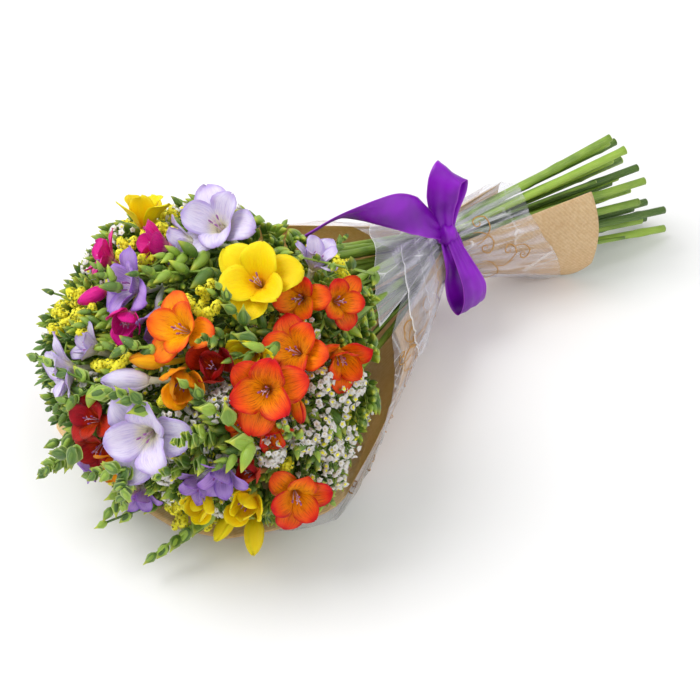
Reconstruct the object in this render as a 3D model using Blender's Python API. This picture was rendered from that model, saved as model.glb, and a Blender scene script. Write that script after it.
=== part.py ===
"""A freesia bouquet lying on a table: stems, blooms, filler sprays, binding, paper, film and ribbon.

Lengths are in millimetres and become metres when a mesh is made. +X runs along the stems to their
cut ends, +Z is up, and z = 0 is the table. The origin lies under the flower heads, on the flat
underside of the film.
"""
import math
from collections import namedtuple

import bmesh
import bpy
import numpy as np
from mathutils import Vector
from mathutils.bvhtree import BVHTree

METRES = 0.001

# The tie, the axis of the bundle there and the middle of the cut ends
NECK = np.array([147.0, 25.0, 50.0])
BUNDLE_AXIS = np.array([-0.9975, -0.05, 0.05])
TAIL_CENTRE = np.array([305.0, 14.0, 48.0])
TAIL_FAN = (1.7, 2.9)
TAIL_TWIST = math.radians(24.0)
TAIL_LEAN = -0.45
TAIL_LOWEST = 6.0
TAIL_BOW = 4.5
TAIL_STAGGER = 9.0
TAIL_FILLER = 0.86
SLOT_SPACING = 5.9

# Moves of single stems in the tie, which press them against a neighbour
PRESSED = {"yellow_top": np.array([0.66, -1.12])}

# The rounded mass of flowers: centre, half sizes along, across and up, pitch and yaw of its axis
DOME_CENTRE = np.array([-35.0, -12.0, 70.0])
DOME_HALF = np.array([110.0, 115.0, 88.0])
DOME_PITCH = math.radians(10.0)
DOME_YAW = math.radians(20.0)

# The plane in which the flowers are arranged: seen from the front left, 45 degrees above the table
SEEN_MIDDLE = np.array([50.0, -20.0, 40.0])
SEEN_BEARING = math.radians(-30.0)
SEEN_HEIGHT = math.radians(45.0)
SEEN_DISTANCE = 1150.0

# Stems and twigs
STEM_RADIUS = 2.1
CUT_RADIUS = 2.8
FILLER_RADIUS = 1.2
TWIG_RADIUS = 1.3
BRANCH_STEP = 3.2
STEM_GAP = 0.9
FINGER_GAP = 0.3
TABLE_GAP = 0.4

# How much room a flower's tube, a flower and a sprig with its buds take up while the stems ease apart
FLOWER_TUBE_ROOM = 2.6
FLOWER_ROOM = 8.0
SPRIG_ROOM = 2.6
EASE_STEP = 0.9
WALL_STEP = 0.12
BEND_STEP = 0.04
EASE_REACH = 18.0

# The stretch of the cone in which stems keep off its walls, and where it lies open above
WALL_ROOM = 6.5
WALLED_FROM = 12.0
WALLED_TO = 245.0
OPEN_SIDE_FROM = 88.0
OPEN_TOP_FROM = 130.0

# The rolled sheets: radius at the tie, thicknesses and the gap between them
FILM_RADIUS = 21.8
TIE_HALF = 7.5
FILM_THICK = 0.7
PAPER_THICK = 0.9
SHEET_GAP = 0.35
CONE_AHEAD = np.array([-0.98, -0.2, 0.045])
CONE_BEHIND = np.array([1.0, -0.07, 0.0])
HEAD_SIDE = np.array([-0.2, 0.98, 0.0])
CONE_TURN = 40.0
STRING_RADIUS = 0.65
STRING_RING = 18.85

# The satin ribbon
RIBBON_THICK = 0.8
BAND_RADIUS = 22.15
BAND_WIDTH = 13.0
KNOT = np.array([142.5, 11.1, 77.0])
KNOT_RADIUS = 9.0

PALE_LAVENDER = (0.72, 0.66, 0.86)
VIOLET = (0.45, 0.28, 0.68)
MAGENTA = (0.72, 0.04, 0.30)
ORANGE = (0.85, 0.16, 0.02)
ORANGE_RED = (0.76, 0.05, 0.01)
DARK_RED = (0.45, 0.02, 0.01)
AMBER = (0.90, 0.42, 0.01)
YELLOW = (0.92, 0.66, 0.01)
STEM_GREEN = (0.16, 0.34, 0.06)
SOLIDAGO_YELLOW = (0.75, 0.68, 0.06)
STATICE_WHITE = (0.78, 0.75, 0.66)
KRAFT = (0.52, 0.33, 0.17)
FILM_CLEAR = (0.85, 0.86, 0.88)
SATIN_PURPLE = (0.22, 0.02, 0.45)
STRING_TAN = (0.55, 0.42, 0.24)

Bloom = namedtuple("Bloom", "kind centre facing size roll")
Body = namedtuple("Body", "name colour blooms")
Sprig = namedtuple("Sprig", "start tip buds length")
Stem = namedtuple("Stem", "name bodies sprigs")
Spray = namedtuple("Spray", "name kind clusters")
Solid = namedtuple("Solid", "points faces")


# Vectors and places

def unit(vector):
    vector = np.asarray(vector, float)
    return vector / np.linalg.norm(vector)


BUNDLE_AXIS = unit(BUNDLE_AXIS)
ACROSS_BUNDLE = unit(np.array([0.0, 1.0, 0.0]) - BUNDLE_AXIS[1] * BUNDLE_AXIS)
UP_BUNDLE = np.cross(ACROSS_BUNDLE, BUNDLE_AXIS)
SEEN_BACK = np.array([
    math.sin(SEEN_BEARING) * math.cos(SEEN_HEIGHT),
    -math.cos(SEEN_BEARING) * math.cos(SEEN_HEIGHT),
    math.sin(SEEN_HEIGHT),
])
SEEN_RIGHT = np.array([math.cos(SEEN_BEARING), math.sin(SEEN_BEARING), 0.0])
SEEN_UP = np.cross(SEEN_BACK, SEEN_RIGHT)
EYE = SEEN_MIDDLE + SEEN_DISTANCE * SEEN_BACK
DOME_LEVEL = np.array([math.cos(DOME_YAW), math.sin(DOME_YAW), 0.0])
DOME_AXES = np.array([
    -math.cos(DOME_PITCH) * DOME_LEVEL + np.array([0.0, 0.0, math.sin(DOME_PITCH)]),
    [-math.sin(DOME_YAW), math.cos(DOME_YAW), 0.0],
    math.sin(DOME_PITCH) * DOME_LEVEL + np.array([0.0, 0.0, math.cos(DOME_PITCH)]),
])


def seen(across, rise, lift=0.0):
    """The point on the dome that is seen at this place in the plane, lifted towards the eye."""
    aim = SEEN_MIDDLE + across * SEEN_RIGHT + rise * SEEN_UP
    ray = unit(aim - EYE)
    start = DOME_AXES @ (EYE - DOME_CENTRE) / DOME_HALF
    run = DOME_AXES @ ray / DOME_HALF
    nearest = -start @ run / (run @ run)
    miss = start + nearest * run
    depth = 1.0 - miss @ miss
    reach = nearest - math.sqrt(max(depth, 0.0) / (run @ run)) - lift
    point = EYE + reach * ray
    lowest = 7.0
    if point[2] < lowest:
        point = point + ray * (lowest - point[2]) / ray[2]
    return point


def face(right, up, near):
    """A direction given as it is seen: to the right, up the plane and towards the eye."""
    return unit(right * SEEN_RIGHT + up * SEEN_UP + near * SEEN_BACK)


def dome_normal(point):
    local = DOME_AXES @ (point - DOME_CENTRE) / DOME_HALF ** 2
    return unit(DOME_AXES.T @ local)


# The bouquet, stem by stem: every place is (across, rise, lift) in the plane, read as real sizes

STEMS = [
    Stem("lavender_top", [
        Body("lavender_top", PALE_LAVENDER, [
            Bloom("open", seen(-84, 79, 12), face(-0.3, 0.35, 0.75), 28, 10),
            Bloom("half", seen(-103, 70, 4), face(-1, 0.05, 0.2), 20, 0),
        ]),
    ], [
        Sprig(seen(-74, 68, 8), seen(-38, 57, 8), 5, 12),
    ]),
    Stem("yellow_top", [
        Body("yellow_top", YELLOW, [Bloom("half", seen(-135, 80, -2), face(0, 0.9, 0.2), 24, 20)]),
    ], [
        Sprig(seen(-138, 66, 4), seen(-152, 74, 4), 3, 9),
    ]),
    Stem("magenta_top", [
        Body("magenta_top", MAGENTA, [Bloom("half", seen(-120, 68, 4), face(-0.8, 0.1, 0.3), 20, 30)]),
    ], [
        Sprig(seen(-92, 57, 8), seen(-122, 53, 8), 4, 16),
    ]),
    Stem("magenta_left", [
        Body("magenta_left", MAGENTA, [
            Bloom("open", seen(-156, 58, 0), face(-0.8, 0.4, 0.2), 18, 0),
            Bloom("closed", seen(-162, 39, 0), face(-0.8, -0.4, 0.2), 17, 0),
        ]),
    ], [
        Sprig(seen(-146, 47, 5), seen(-165, 54, 5), 3, 11),
    ]),
    Stem("violet_upper", [
        Body("violet_upper", VIOLET, [
            Bloom("open", seen(-138, 41, 4), face(-0.7, 0.1, 0.5), 24, 0),
            Bloom("half", seen(-125, 27, 2), face(0.1, -0.8, 0.5), 22, 20),
        ]),
    ], [
        Sprig(seen(-96, 48, 12), seen(-133, 43, 12), 6, 14),
        Sprig(seen(-110, 40, 12), seen(-123, 31, 12), 4, 9),
    ]),
    Stem("magenta_low", [
        Body("magenta_low", MAGENTA, [Bloom("cup", seen(-145, 22, 7), face(-0.2, -0.5, 0.8), 17, 10)]),
    ], [
        Sprig(seen(-124, 5, 6), seen(-175, 11, 6), 8, 13),
        Sprig(seen(-150, 12, 5), seen(-170, 29, 5), 3, 13),
    ]),
    Stem("orange_left", [
        Body("orange_left", ORANGE, [Bloom("open", seen(-107, 12, 9), face(-0.4, 0.15, 0.8), 24, 5)]),
        Body("amber_left", AMBER, [
            Bloom("cup", seen(-110, -17, 2), face(0, -0.5, 0.75), 22, 0),
            Bloom("closed", seen(-124, -7, 4), face(-1, 0.05, 0.3), 22, 0),
        ]),
    ], [
        Sprig(seen(-74, -2, 9), seen(-98, 4, 9), 4, 10),
    ]),
    Stem("dark_red", [
        Body("dark_red", DARK_RED, [Bloom("cup", seen(-89, -12, 3), face(-0.1, 0.1, 1), 20, 30)]),
    ], [
        Sprig(seen(-66, 2, 10), seen(-90, 36, 10), 7, 12),
    ]),
    Stem("yellow_middle", [
        Body("yellow_middle", YELLOW, [
            Bloom("open", seen(-59, 43, 10), face(-0.15, 0.2, 0.8), 29, 25),
            Bloom("half", seen(-61, 0, 2), face(-0.4, -0.3, 0.7), 22, 10),
        ]),
    ], [
        Sprig(seen(-38, 21, 10), seen(-76, 4, 10), 6, 11),
    ]),
    Stem("orange_red_upper", [
        Body("orange_red_upper", ORANGE_RED, [
            Bloom("open", seen(-32, 34, 10), face(-0.25, -0.1, 0.95), 19, 15),
            Bloom("open", seen(-9, 32, 13), face(0.35, 0, 0.93), 18, 40),
        ]),
    ], [
        Sprig(seen(2, 22, 10), seen(2, -10, 8), 3, 12),
        Sprig(seen(-33, 58, 6), seen(-4, 73, 6), 6, 10),
        Sprig(seen(-10, 18, 10), seen(-23, 7, 12), 2, 13),
    ]),
    Stem("orange_red_middle", [
        Body("orange_red_middle", ORANGE_RED, [
            Bloom("open", seen(-34, -2, 7), face(-0.3, 0.15, 0.85), 23, 0),
            Bloom("half", seen(-8, -2, 2), face(0.25, -0.45, 0.8), 23, 20),
        ]),
    ], [
        Sprig(seen(-49, 1, 12), seen(-75, -12, 12), 3, 14),
    ]),
    Stem("orange_red_large", [
        Body("orange_red_large", ORANGE_RED, [
            Bloom("open", seen(-54, -26, 10), face(-0.15, -0.1, 0.95), 27, 20),
            Bloom("closed", seen(-35, -35, 4), face(0.2, -0.7, 0.6), 15, 0),
            Bloom("half", seen(-66, -45, 2), face(-0.5, -0.5, 0.6), 15, 0),
            Bloom("half", seen(-53, -49, 2), face(0.1, -0.7, 0.6), 16, 30),
        ]),
    ], [
        Sprig(seen(-36, -46, 6), seen(-39, -66, 6), 2, 13),
        Sprig(seen(-27, -44, 6), seen(-24, -66, 6), 2, 12),
    ]),
    Stem("lavender_left", [
        Body("lavender_left", PALE_LAVENDER, [
            Bloom("open", seen(-180, -13, 0), face(-0.9, -0.15, 0.35), 24, 0),
            Bloom("half", seen(-166, 0, -4), face(-0.7, 0.3, 0.4), 16, 0),
        ]),
        Body("lavender_tube", PALE_LAVENDER, [Bloom("closed", seen(-135, -20, 5), face(-1, 0, 0.15), 25, 0)]),
    ], [
        Sprig(seen(-158, -18, 7), seen(-206, -4, 7), 6, 13),
        Sprig(seen(-152, -26, 7), seen(-192, -44, 7), 8, 13),
    ]),
    Stem("red_left", [
        Body("red_left", DARK_RED, [
            Bloom("open", seen(-166, -46, 2), face(-0.5, 0.1, 0.8), 17, 0),
            Bloom("open", seen(-163, -62, 2), face(-0.3, -0.5, 0.8), 16, 30),
        ]),
        Body("amber_low", AMBER, [Bloom("half", seen(-152, -69, 0), face(-0.3, -0.7, 0.5), 17, 0)]),
    ], [
        Sprig(seen(-174, -48, 5), seen(-192, -60, 5), 4, 14),
        Sprig(seen(-172, -64, 2), seen(-199, -80, 2), 5, 11),
    ]),
    Stem("lavender_low", [
        Body("lavender_low", PALE_LAVENDER, [
            Bloom("open", seen(-130, -54, 12), face(-0.35, -0.25, 0.9), 31, 15),
        ]),
        Body("violet_small", VIOLET, [
            Bloom("half", seen(-165, -74, -6), face(-0.8, -0.4, 0.3), 14, 0),
            Bloom("half", seen(-138, -90, -2), face(0, -0.8, 0.4), 16, 0),
        ]),
    ], [
        Sprig(seen(-128, -34, 8), seen(-154, -28, 8), 4, 12),
        Sprig(seen(-146, -80, 6), seen(-155, -106, 6), 6, 13),
    ]),
    Stem("violet_low", [
        Body("violet_low", VIOLET, [
            Bloom("half", seen(-83, -76, 4), face(-0.2, -0.7, 0.6), 20, 0),
            Bloom("half", seen(-96, -84, 2), face(-0.6, -0.6, 0.4), 16, 20),
        ]),
    ], [
        Sprig(seen(-68, -58, 11), seen(-107, -26, 11), 7, 14),
        Sprig(seen(-74, -64, 11), seen(-110, -54, 11), 5, 13),
    ]),
    Stem("red_low", [
        Body("red_star", ORANGE_RED, [Bloom("open", seen(-36, -94, 8), face(0.15, -0.35, 0.9), 22, 10)]),
        Body("red_cup", DARK_RED, [Bloom("cup", seen(-64, -80, 7), face(-0.4, 0, 0.9), 14, 0)]),
    ], [
        Sprig(seen(-32, -76, 8), seen(-13, -98, 8), 4, 11),
        Sprig(seen(-58, -68, 8), seen(-80, -62, 9), 3, 12),
    ]),
    Stem("yellow_low", [
        Body("yellow_low", YELLOW, [
            Bloom("cup", seen(-66, -98, 7), face(-0.3, -0.3, 0.9), 20, 0),
            Bloom("cup", seen(-94, -97, 0), face(-0.5, -0.5, 0.6), 17, 30),
            Bloom("closed", seen(-63, -112, 0), face(0, -0.9, 0.3), 22, 0),
            Bloom("closed", seen(-78, -110, 0), face(-0.5, -0.7, 0.3), 18, 0),
        ]),
    ], [
        Sprig(seen(-92, -121, 2), seen(-128, -134, 2), 6, 13),
        Sprig(seen(-126, -107, 3), seen(-160, -112, 3), 4, 11),
    ]),
    Stem("lavender_back", [
        Body("lavender_right", PALE_LAVENDER, [Bloom("half", seen(-24, 54, 2), face(0.2, 0.5, 0.4), 20, 0)]),
        Body("lavender_back", PALE_LAVENDER, [
            Bloom("open", np.array([-14.0, 60.0, 108.0]), unit([0.1, 0.8, 0.55]), 25, 20),
            Bloom("half", np.array([10.0, 72.0, 80.0]), unit([0.5, 0.8, 0.25]), 24, 40),
        ]),
    ], [
        Sprig(np.array([4.0, 52.0, 112.0]), np.array([36.0, 44.0, 104.0]), 5, 12),
    ]),
    Stem("orange_red_back", [
        Body("orange_red_back", ORANGE_RED, [
            Bloom("open", np.array([-44.0, 84.0, 84.0]), unit([-0.1, 0.9, 0.4]), 27, 0),
            Bloom("half", np.array([-10.0, 88.0, 64.0]), unit([0.2, 0.9, 0.3]), 24, 0),
            Bloom("half", np.array([-46.0, 94.0, 54.0]), unit([-0.1, 0.95, 0.1]), 22, 25),
        ]),
    ], [
        Sprig(np.array([-8.0, 74.0, 96.0]), np.array([20.0, 66.0, 100.0]), 5, 12),
    ]),
    Stem("magenta_back", [
        Body("magenta_back", MAGENTA, [
            Bloom("open", np.array([-88.0, 72.0, 70.0]), unit([-0.6, 0.75, 0.2]), 25, 0),
            Bloom("half", np.array([-76.0, 90.0, 44.0]), unit([-0.4, 0.9, 0.1]), 22, 0),
            Bloom("half", np.array([-108.0, 58.0, 46.0]), unit([-0.8, 0.6, 0.0]), 20, 20),
        ]),
    ], [
        Sprig(np.array([-92.0, 62.0, 92.0]), np.array([-112.0, 80.0, 86.0]), 4, 12),
    ]),
]

SPRAYS = [
    Spray("solidago_left", "solidago", [
        seen(-178, 34, 0), seen(-173, 22, 2), seen(-172, 6, 2), seen(-166, -8, 2), seen(-150, -9, 6),
    ]),
    Spray("solidago_top", "solidago", [
        seen(-146, 66, 6), seen(-132, 61, 8), seen(-145, 54, 4), seen(-151, 47, 4),
    ]),
    Spray("solidago_middle", "solidago", [
        seen(-103, 29, 4), seen(-91, 24, 6), seen(-75, 28, 4), seen(-94, 37, 4), seen(1, 52, 4),
        seen(-2, 41, 2),
    ]),
    Spray("solidago_low", "solidago", [
        seen(-108, -96, 2), seen(-92, -110, -2), seen(-112, -108, -2), seen(-76, -90, 8), seen(-66, -68, 4),
    ]),
    Spray("statice_left", "statice", [
        seen(-124, 9, 8), seen(-120, -28, 6), seen(-148, -37, 5), seen(-140, -42, 6), seen(-170, -24, -2),
    ]),
    Spray("statice_centre", "statice", [
        seen(-99, -31, 7), seen(-87, -38, 8), seen(-79, -31, 6), seen(-92, -46, 8), seen(-70, -34, 4),
    ]),
    Spray("statice_low", "statice", [
        seen(-72, -50, 8), seen(-62, -58, 6), seen(-55, -64, 6), seen(-78, -56, 6), seen(-47, -70, 4),
        seen(-122, -80, 4),
    ]),
    Spray("statice_right", "statice", [
        seen(-19, -20, 6), seen(-8, -26, 4), seen(2, -22, 2), seen(-19, -52, 2), seen(-14, -64, 0),
        seen(-28, -60, 4),
    ]),
]


# Solids, as points and outward triangles

def joined_faces(quads):
    faces = []
    for a, b, c, d in quads:
        faces.append((a, b, c))
        faces.append((a, c, d))
    return faces


def ring_frames(path):
    """A tangent and two level directions for each point of a path, turned as little as possible."""
    path = np.asarray(path, float)
    tangents = np.gradient(path, axis=0)
    tangents = tangents / np.linalg.norm(tangents, axis=1)[:, None]
    first = np.eye(3)[np.argmin(np.abs(tangents[0]))]
    sides = []
    for tangent in tangents:
        first = first - (first @ tangent) * tangent
        first = unit(first)
        sides.append(first)
    sides = np.array(sides)
    return tangents, sides, np.cross(tangents, sides)


def tube(path, radii, sides):
    path = np.asarray(path, float)
    radii = np.broadcast_to(np.asarray(radii, float), (len(path),))
    tangents, first, second = ring_frames(path)
    angles = np.arange(sides) * 2 * math.pi / sides
    rings = [
        path[i] + radii[i] * (np.cos(angles)[:, None] * first[i] + np.sin(angles)[:, None] * second[i])
        for i in range(len(path))
    ]
    quads = [
        (i * sides + k, i * sides + (k + 1) % sides, (i + 1) * sides + (k + 1) % sides, (i + 1) * sides + k)
        for i in range(len(path) - 1)
        for k in range(sides)
    ]
    faces = joined_faces(quads)
    last = (len(path) - 1) * sides
    for k in range(1, sides - 1):
        faces.append((0, k + 1, k))
        faces.append((last, last + k, last + k + 1))
    return Solid(np.concatenate(rings), faces)


def spindle(base, tip, radius, sides=4, waists=(0.42,)):
    """A bud: a point at its base, one ring or more, and a point at its tip."""
    axis = tip - base
    _, first, second = ring_frames([base, tip])
    angles = np.arange(sides) * 2 * math.pi / sides
    spokes = np.cos(angles)[:, None] * first[0] + np.sin(angles)[:, None] * second[0]
    points = [base[None]]
    for waist in waists:
        swell = radius * (1.0 if waist < 0.6 else 0.62)
        points.append(base + waist * axis + swell * spokes)
    points.append(tip[None])
    end = 1 + sides * len(waists)
    faces = []
    for k in range(sides):
        after = (k + 1) % sides
        faces.append((0, 1 + after, 1 + k))
        faces.append((end, end - sides + k, end - sides + after))
    quads = []
    for i in range(len(waists) - 1):
        low, high = 1 + i * sides, 1 + (i + 1) * sides
        quads += [(low + k, low + (k + 1) % sides, high + (k + 1) % sides, high + k) for k in range(sides)]
    return Solid(np.concatenate(points), faces + joined_faces(quads))


# How far the petals open: angles from the flower's axis at the root and at the tip
OUTER_OPENING = {"open": (40.0, 92.0), "half": (30.0, 60.0), "cup": (60.0, -6.0)}
INNER_OPENING = {"open": (18.0, 66.0), "half": (8.0, 36.0), "cup": (38.0, -22.0)}
PETAL_STATIONS = (0.5, 0.84)
PETAL_WIDTHS = (1.0, 0.76)
PETAL_WIDTH = {"open": 0.35, "half": 0.31, "cup": 0.34}
PETAL_THICK = 1.1
THROAT_RADIUS = 3.2
THROAT_DEPTH = 3.0
BASE_RADIUS = 1.5
SIDE_BASE_RADIUS = 1.05
BEND_RADIUS = 2.1
BEND_BELOW = 8.0
PROFILE_STEPS = 24
ROOT_RETREAT = 0.12


def bloom_axes(bloom):
    axis = unit(bloom.facing)
    level = unit(np.cross(axis, np.array([0.13, 0.21, 0.97])))
    return axis, level, np.cross(axis, level)


def throat_corner(bloom, number):
    """The point between two petals on the rim of the flower's tube."""
    axis, level, square = bloom_axes(bloom)
    azimuth = math.radians(bloom.roll + 60.0 * number - 30.0)
    return bloom.centre + THROAT_RADIUS * (math.cos(azimuth) * level + math.sin(azimuth) * square)


def petal_profile(bloom, number, opening, reach):
    """The midline of a petal: radius, height and angle from the flower's axis at equal steps."""
    inner = number % 2 == 0
    start, end = (INNER_OPENING if inner else OUTER_OPENING)[bloom.kind]
    end = math.radians(end + opening)
    start = math.radians(start + 0.3 * opening)
    run = bloom.size * reach * (0.94 if inner else 1.0) / PROFILE_STEPS
    radius = THROAT_RADIUS * math.cos(math.radians(30.0))
    height = 0.0
    profile = [(radius, height, start)]
    for i in range(PROFILE_STEPS):
        angle = start + (end - start) * (i + 0.5) / PROFILE_STEPS
        radius += run * math.sin(angle)
        height += run * math.cos(angle)
        profile.append((radius, height, angle))
    return profile


def petal_points(bloom, number, opening=0.0, reach=1.0, turn=0.0):
    """A cupped blade: at each station its left edge, inside, right edge and outside, and then its tip."""
    axis, level, square = bloom_axes(bloom)
    profile = petal_profile(bloom, number, opening, reach)
    points = []
    length = bloom.size * reach
    for station, width in zip(PETAL_STATIONS, PETAL_WIDTHS):
        radius, height, angle = profile[round(station * PROFILE_STEPS)]
        azimuth = math.radians(bloom.roll + 60.0 * number + turn * station)
        out = math.cos(azimuth) * level + math.sin(azimuth) * square
        along = np.cross(axis, out)
        inward = math.sin(angle) * axis - math.cos(angle) * out
        half = PETAL_WIDTH[bloom.kind] * length * width
        cup = 0.5 * half * half / (radius + 0.35 * length)
        centre = bloom.centre + radius * out + height * axis
        points += [
            centre - half * along + cup * inward, centre + 0.5 * PETAL_THICK * inward,
            centre + half * along + cup * inward, centre - 0.5 * PETAL_THICK * inward,
        ]
    radius, height, _ = profile[-1]
    azimuth = math.radians(bloom.roll + 60.0 * number + turn)
    out = math.cos(azimuth) * level + math.sin(azimuth) * square
    points.append(bloom.centre + radius * out + height * axis)
    return np.array(points)


# A petal's triangles over its points: rim corners 0 and 1, throat 2, two stations and the tip
PETAL_FACES = [
    (0, 1, 6), (0, 6, 3), (1, 5, 6),
    (2, 4, 1), (0, 4, 2), (0, 3, 4), (1, 4, 5),
    (3, 6, 10), (3, 10, 7), (6, 5, 9), (6, 9, 10),
    (4, 3, 7), (4, 7, 8), (5, 4, 8), (5, 8, 9),
    (7, 10, 11), (10, 9, 11), (9, 8, 11), (8, 7, 11),
]
PETAL_ROOT = (0, 2, 1)


def petal_solid(bloom, number, choice):
    axis = unit(bloom.facing)
    throat = bloom.centre - THROAT_DEPTH * axis
    root = [throat_corner(bloom, number), throat_corner(bloom, number + 1), throat]
    points = np.concatenate([root, petal_points(bloom, number, *choice)])
    return Solid(points, PETAL_FACES + [PETAL_ROOT])


def petal_blade(solid):
    """The part of a petal beyond its root, for telling whether it meets its neighbours in the flower."""
    points = solid.points.copy()
    points[:3] += ROOT_RETREAT * (points[3:7].mean(axis=0) - points[:3])
    return Solid(points, solid.faces)


def corolla(bloom, path, base_axis, base_radius, petals):
    """A flower's tube and petals as one closed body. A petal that found no room leaves a closed rim."""
    axis, level, square = bloom_axes(bloom)
    bend = unit(path[2] - path[0])
    rings = []
    radii = (base_radius, BEND_RADIUS, THROAT_RADIUS)
    for centre, along, radius in zip(path, (base_axis, bend, axis), radii):
        first = unit(level - (level @ along) * along)
        second = np.cross(along, first)
        for number in range(6):
            azimuth = math.radians(bloom.roll + 60.0 * number - 30.0)
            rings.append(centre + radius * (math.cos(azimuth) * first + math.sin(azimuth) * second))
    depth = 0.0 if bloom.kind == "closed" else THROAT_DEPTH
    points = rings + [bloom.centre - depth * axis]
    throat = len(rings)
    quads = [
        (6 * i + k, 6 * i + (k + 1) % 6, 6 * (i + 1) + (k + 1) % 6, 6 * (i + 1) + k)
        for i in range(2)
        for k in range(6)
    ]
    faces = joined_faces(quads) + [(0, k + 1, k) for k in range(1, 5)]
    for number, solid in enumerate(petals):
        left, right = 12 + number, 12 + (number + 1) % 6
        if solid is None:
            faces.append((left, right, throat))
            continue
        places = [left, right, throat] + [len(points) + k for k in range(9)]
        points += list(solid.points[3:])
        faces += [tuple(places[k] for k in face) for face in PETAL_FACES]
    return Solid(np.array(points), faces)


def volume(solid):
    corners = solid.points[np.array(solid.faces)]
    return np.einsum("ij,ij->i", corners[:, 0], np.cross(corners[:, 1], corners[:, 2])).sum() / 6


def outward(solid):
    centred = Solid(solid.points - solid.points.mean(axis=0), solid.faces)
    if volume(centred) > 0:
        return solid
    return Solid(solid.points, [face[::-1] for face in solid.faces])


def floret(base, direction, size, kind):
    """A small flower: a cup with a flat mouth for statice, a pointed head for solidago."""
    tip = base + direction * size * 1.5
    if kind == "statice":
        _, first, second = ring_frames([base, tip])
        angles = np.arange(4) * 2 * math.pi / 4
        mouth = tip + size * 0.8 * (np.cos(angles)[:, None] * first[0] + np.sin(angles)[:, None] * second[0])
        faces = [(0, 1 + (k + 1) % 4, 1 + k) for k in range(4)] + [(1, 2, 3), (1, 3, 4)]
        return Solid(np.concatenate([base[None], mouth]), faces)
    return spindle(base, tip, size * 0.5, sides=3, waists=(0.55,))


# Clearance between the solids of different nodes

def face_normals(points, faces):
    corners = points[np.array(faces)]
    return np.cross(corners[:, 1] - corners[:, 0], corners[:, 2] - corners[:, 0])


def grown(solid, amount):
    normals = np.zeros_like(solid.points)
    flat = face_normals(solid.points, solid.faces)
    for corner in range(3):
        np.add.at(normals, np.array(solid.faces)[:, corner], flat)
    lengths = np.linalg.norm(normals, axis=1)[:, None]
    return solid.points + amount * normals / np.maximum(lengths, 1e-9)


class Room:
    """The solids placed so far, and whether another one is clear of those in other nodes."""

    def __init__(self):
        self.owners = []
        self.lows = []
        self.highs = []
        self.trees = []

    def add(self, owner, solid):
        self.owners.append(owner)
        self.lows.append(solid.points.min(axis=0))
        self.highs.append(solid.points.max(axis=0))
        self.trees.append(BVHTree.FromPolygons(solid.points.tolist(), solid.faces))

    def is_clear(self, owner, solid, gap=FINGER_GAP + 0.05):
        points = grown(solid, gap)
        low, high = points.min(axis=0), points.max(axis=0)
        if solid.points[:, 2].min() < TABLE_GAP:
            return False
        if not self.trees:
            return True
        near = np.all(np.array(self.lows) < high, axis=1) & np.all(np.array(self.highs) > low, axis=1)
        tree = BVHTree.FromPolygons(points.tolist(), solid.faces)
        middle = solid.points.mean(axis=0)
        for i in np.flatnonzero(near):
            if self.owners[i] == owner:
                continue
            if tree.overlap(self.trees[i]) or encloses(self.trees[i], middle):
                return False
        return True


def encloses(tree, point):
    """Whether a point lies inside a closed solid: a ray from it leaves through an odd number of faces."""
    start = Vector(point)
    way = Vector((0.31, 0.24, 0.92)).normalized()
    crossings = 0
    while True:
        spot, _, _, _ = tree.ray_cast(start, way)
        if spot is None:
            return crossings % 2 == 1
        crossings += 1
        start = spot + 0.001 * way


# The cone of paper and film: one surface, from the tail through the tie to the lips

def blend(points, at):
    keys, values = zip(*points)
    return float(np.interp(at, keys, values))


def cone_axis(distance):
    """The middle of the cone's section, this far from the tie along the bundle."""
    tied = min(max(distance, -TIE_HALF), TIE_HALF)
    ahead = max(distance - TIE_HALF, 0.0)
    behind = max(-distance - TIE_HALF, 0.0)
    return NECK + tied * BUNDLE_AXIS + ahead * CONE_AHEAD + behind * CONE_BEHIND


def cone_side(distance):
    """The level direction across the cone, turned from the bundle's to the head's own past the tie."""
    lean = min(max(distance - TIE_HALF, 0.0) / CONE_TURN, 1.0)
    return unit((1.0 - lean) * ACROSS_BUNDLE + lean * HEAD_SIDE)


def cone_point(degrees, distance):
    angle = math.radians(degrees)
    cos, sin = math.cos(angle), math.sin(angle)
    middle = cone_axis(distance)
    turn = degrees % 360
    flare = max(abs(distance) - TIE_HALF, 0.0)
    if distance >= 0:
        squareness = 1.0 - 0.3 * min(flare / 55.0, 1.0)
        half = min(FILM_RADIUS + 0.57 * flare, 100.0 + 0.12 * flare)
        lie = blend([(0, 1), (60, 1), (97, 0.85), (130, 0.05), (180, 0.05), (181, 1), (360, 1)], turn)
        rise = FILM_RADIUS + 0.34 * flare * lie
        fall = FILM_RADIUS + 0.435 * flare
    else:
        squareness = 1.0
        half = FILM_RADIUS + 0.15 * flare
        rise = FILM_RADIUS + 0.26 * flare
        fall = FILM_RADIUS + 0.42 * flare
    across = half * math.copysign(abs(cos) ** squareness, cos)
    height = (rise if sin > 0 else fall) * sin
    point = middle + across * cone_side(distance) + np.array([0.0, 0.0, height])
    point[2] = max(point[2], 0.0)
    return point


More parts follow.
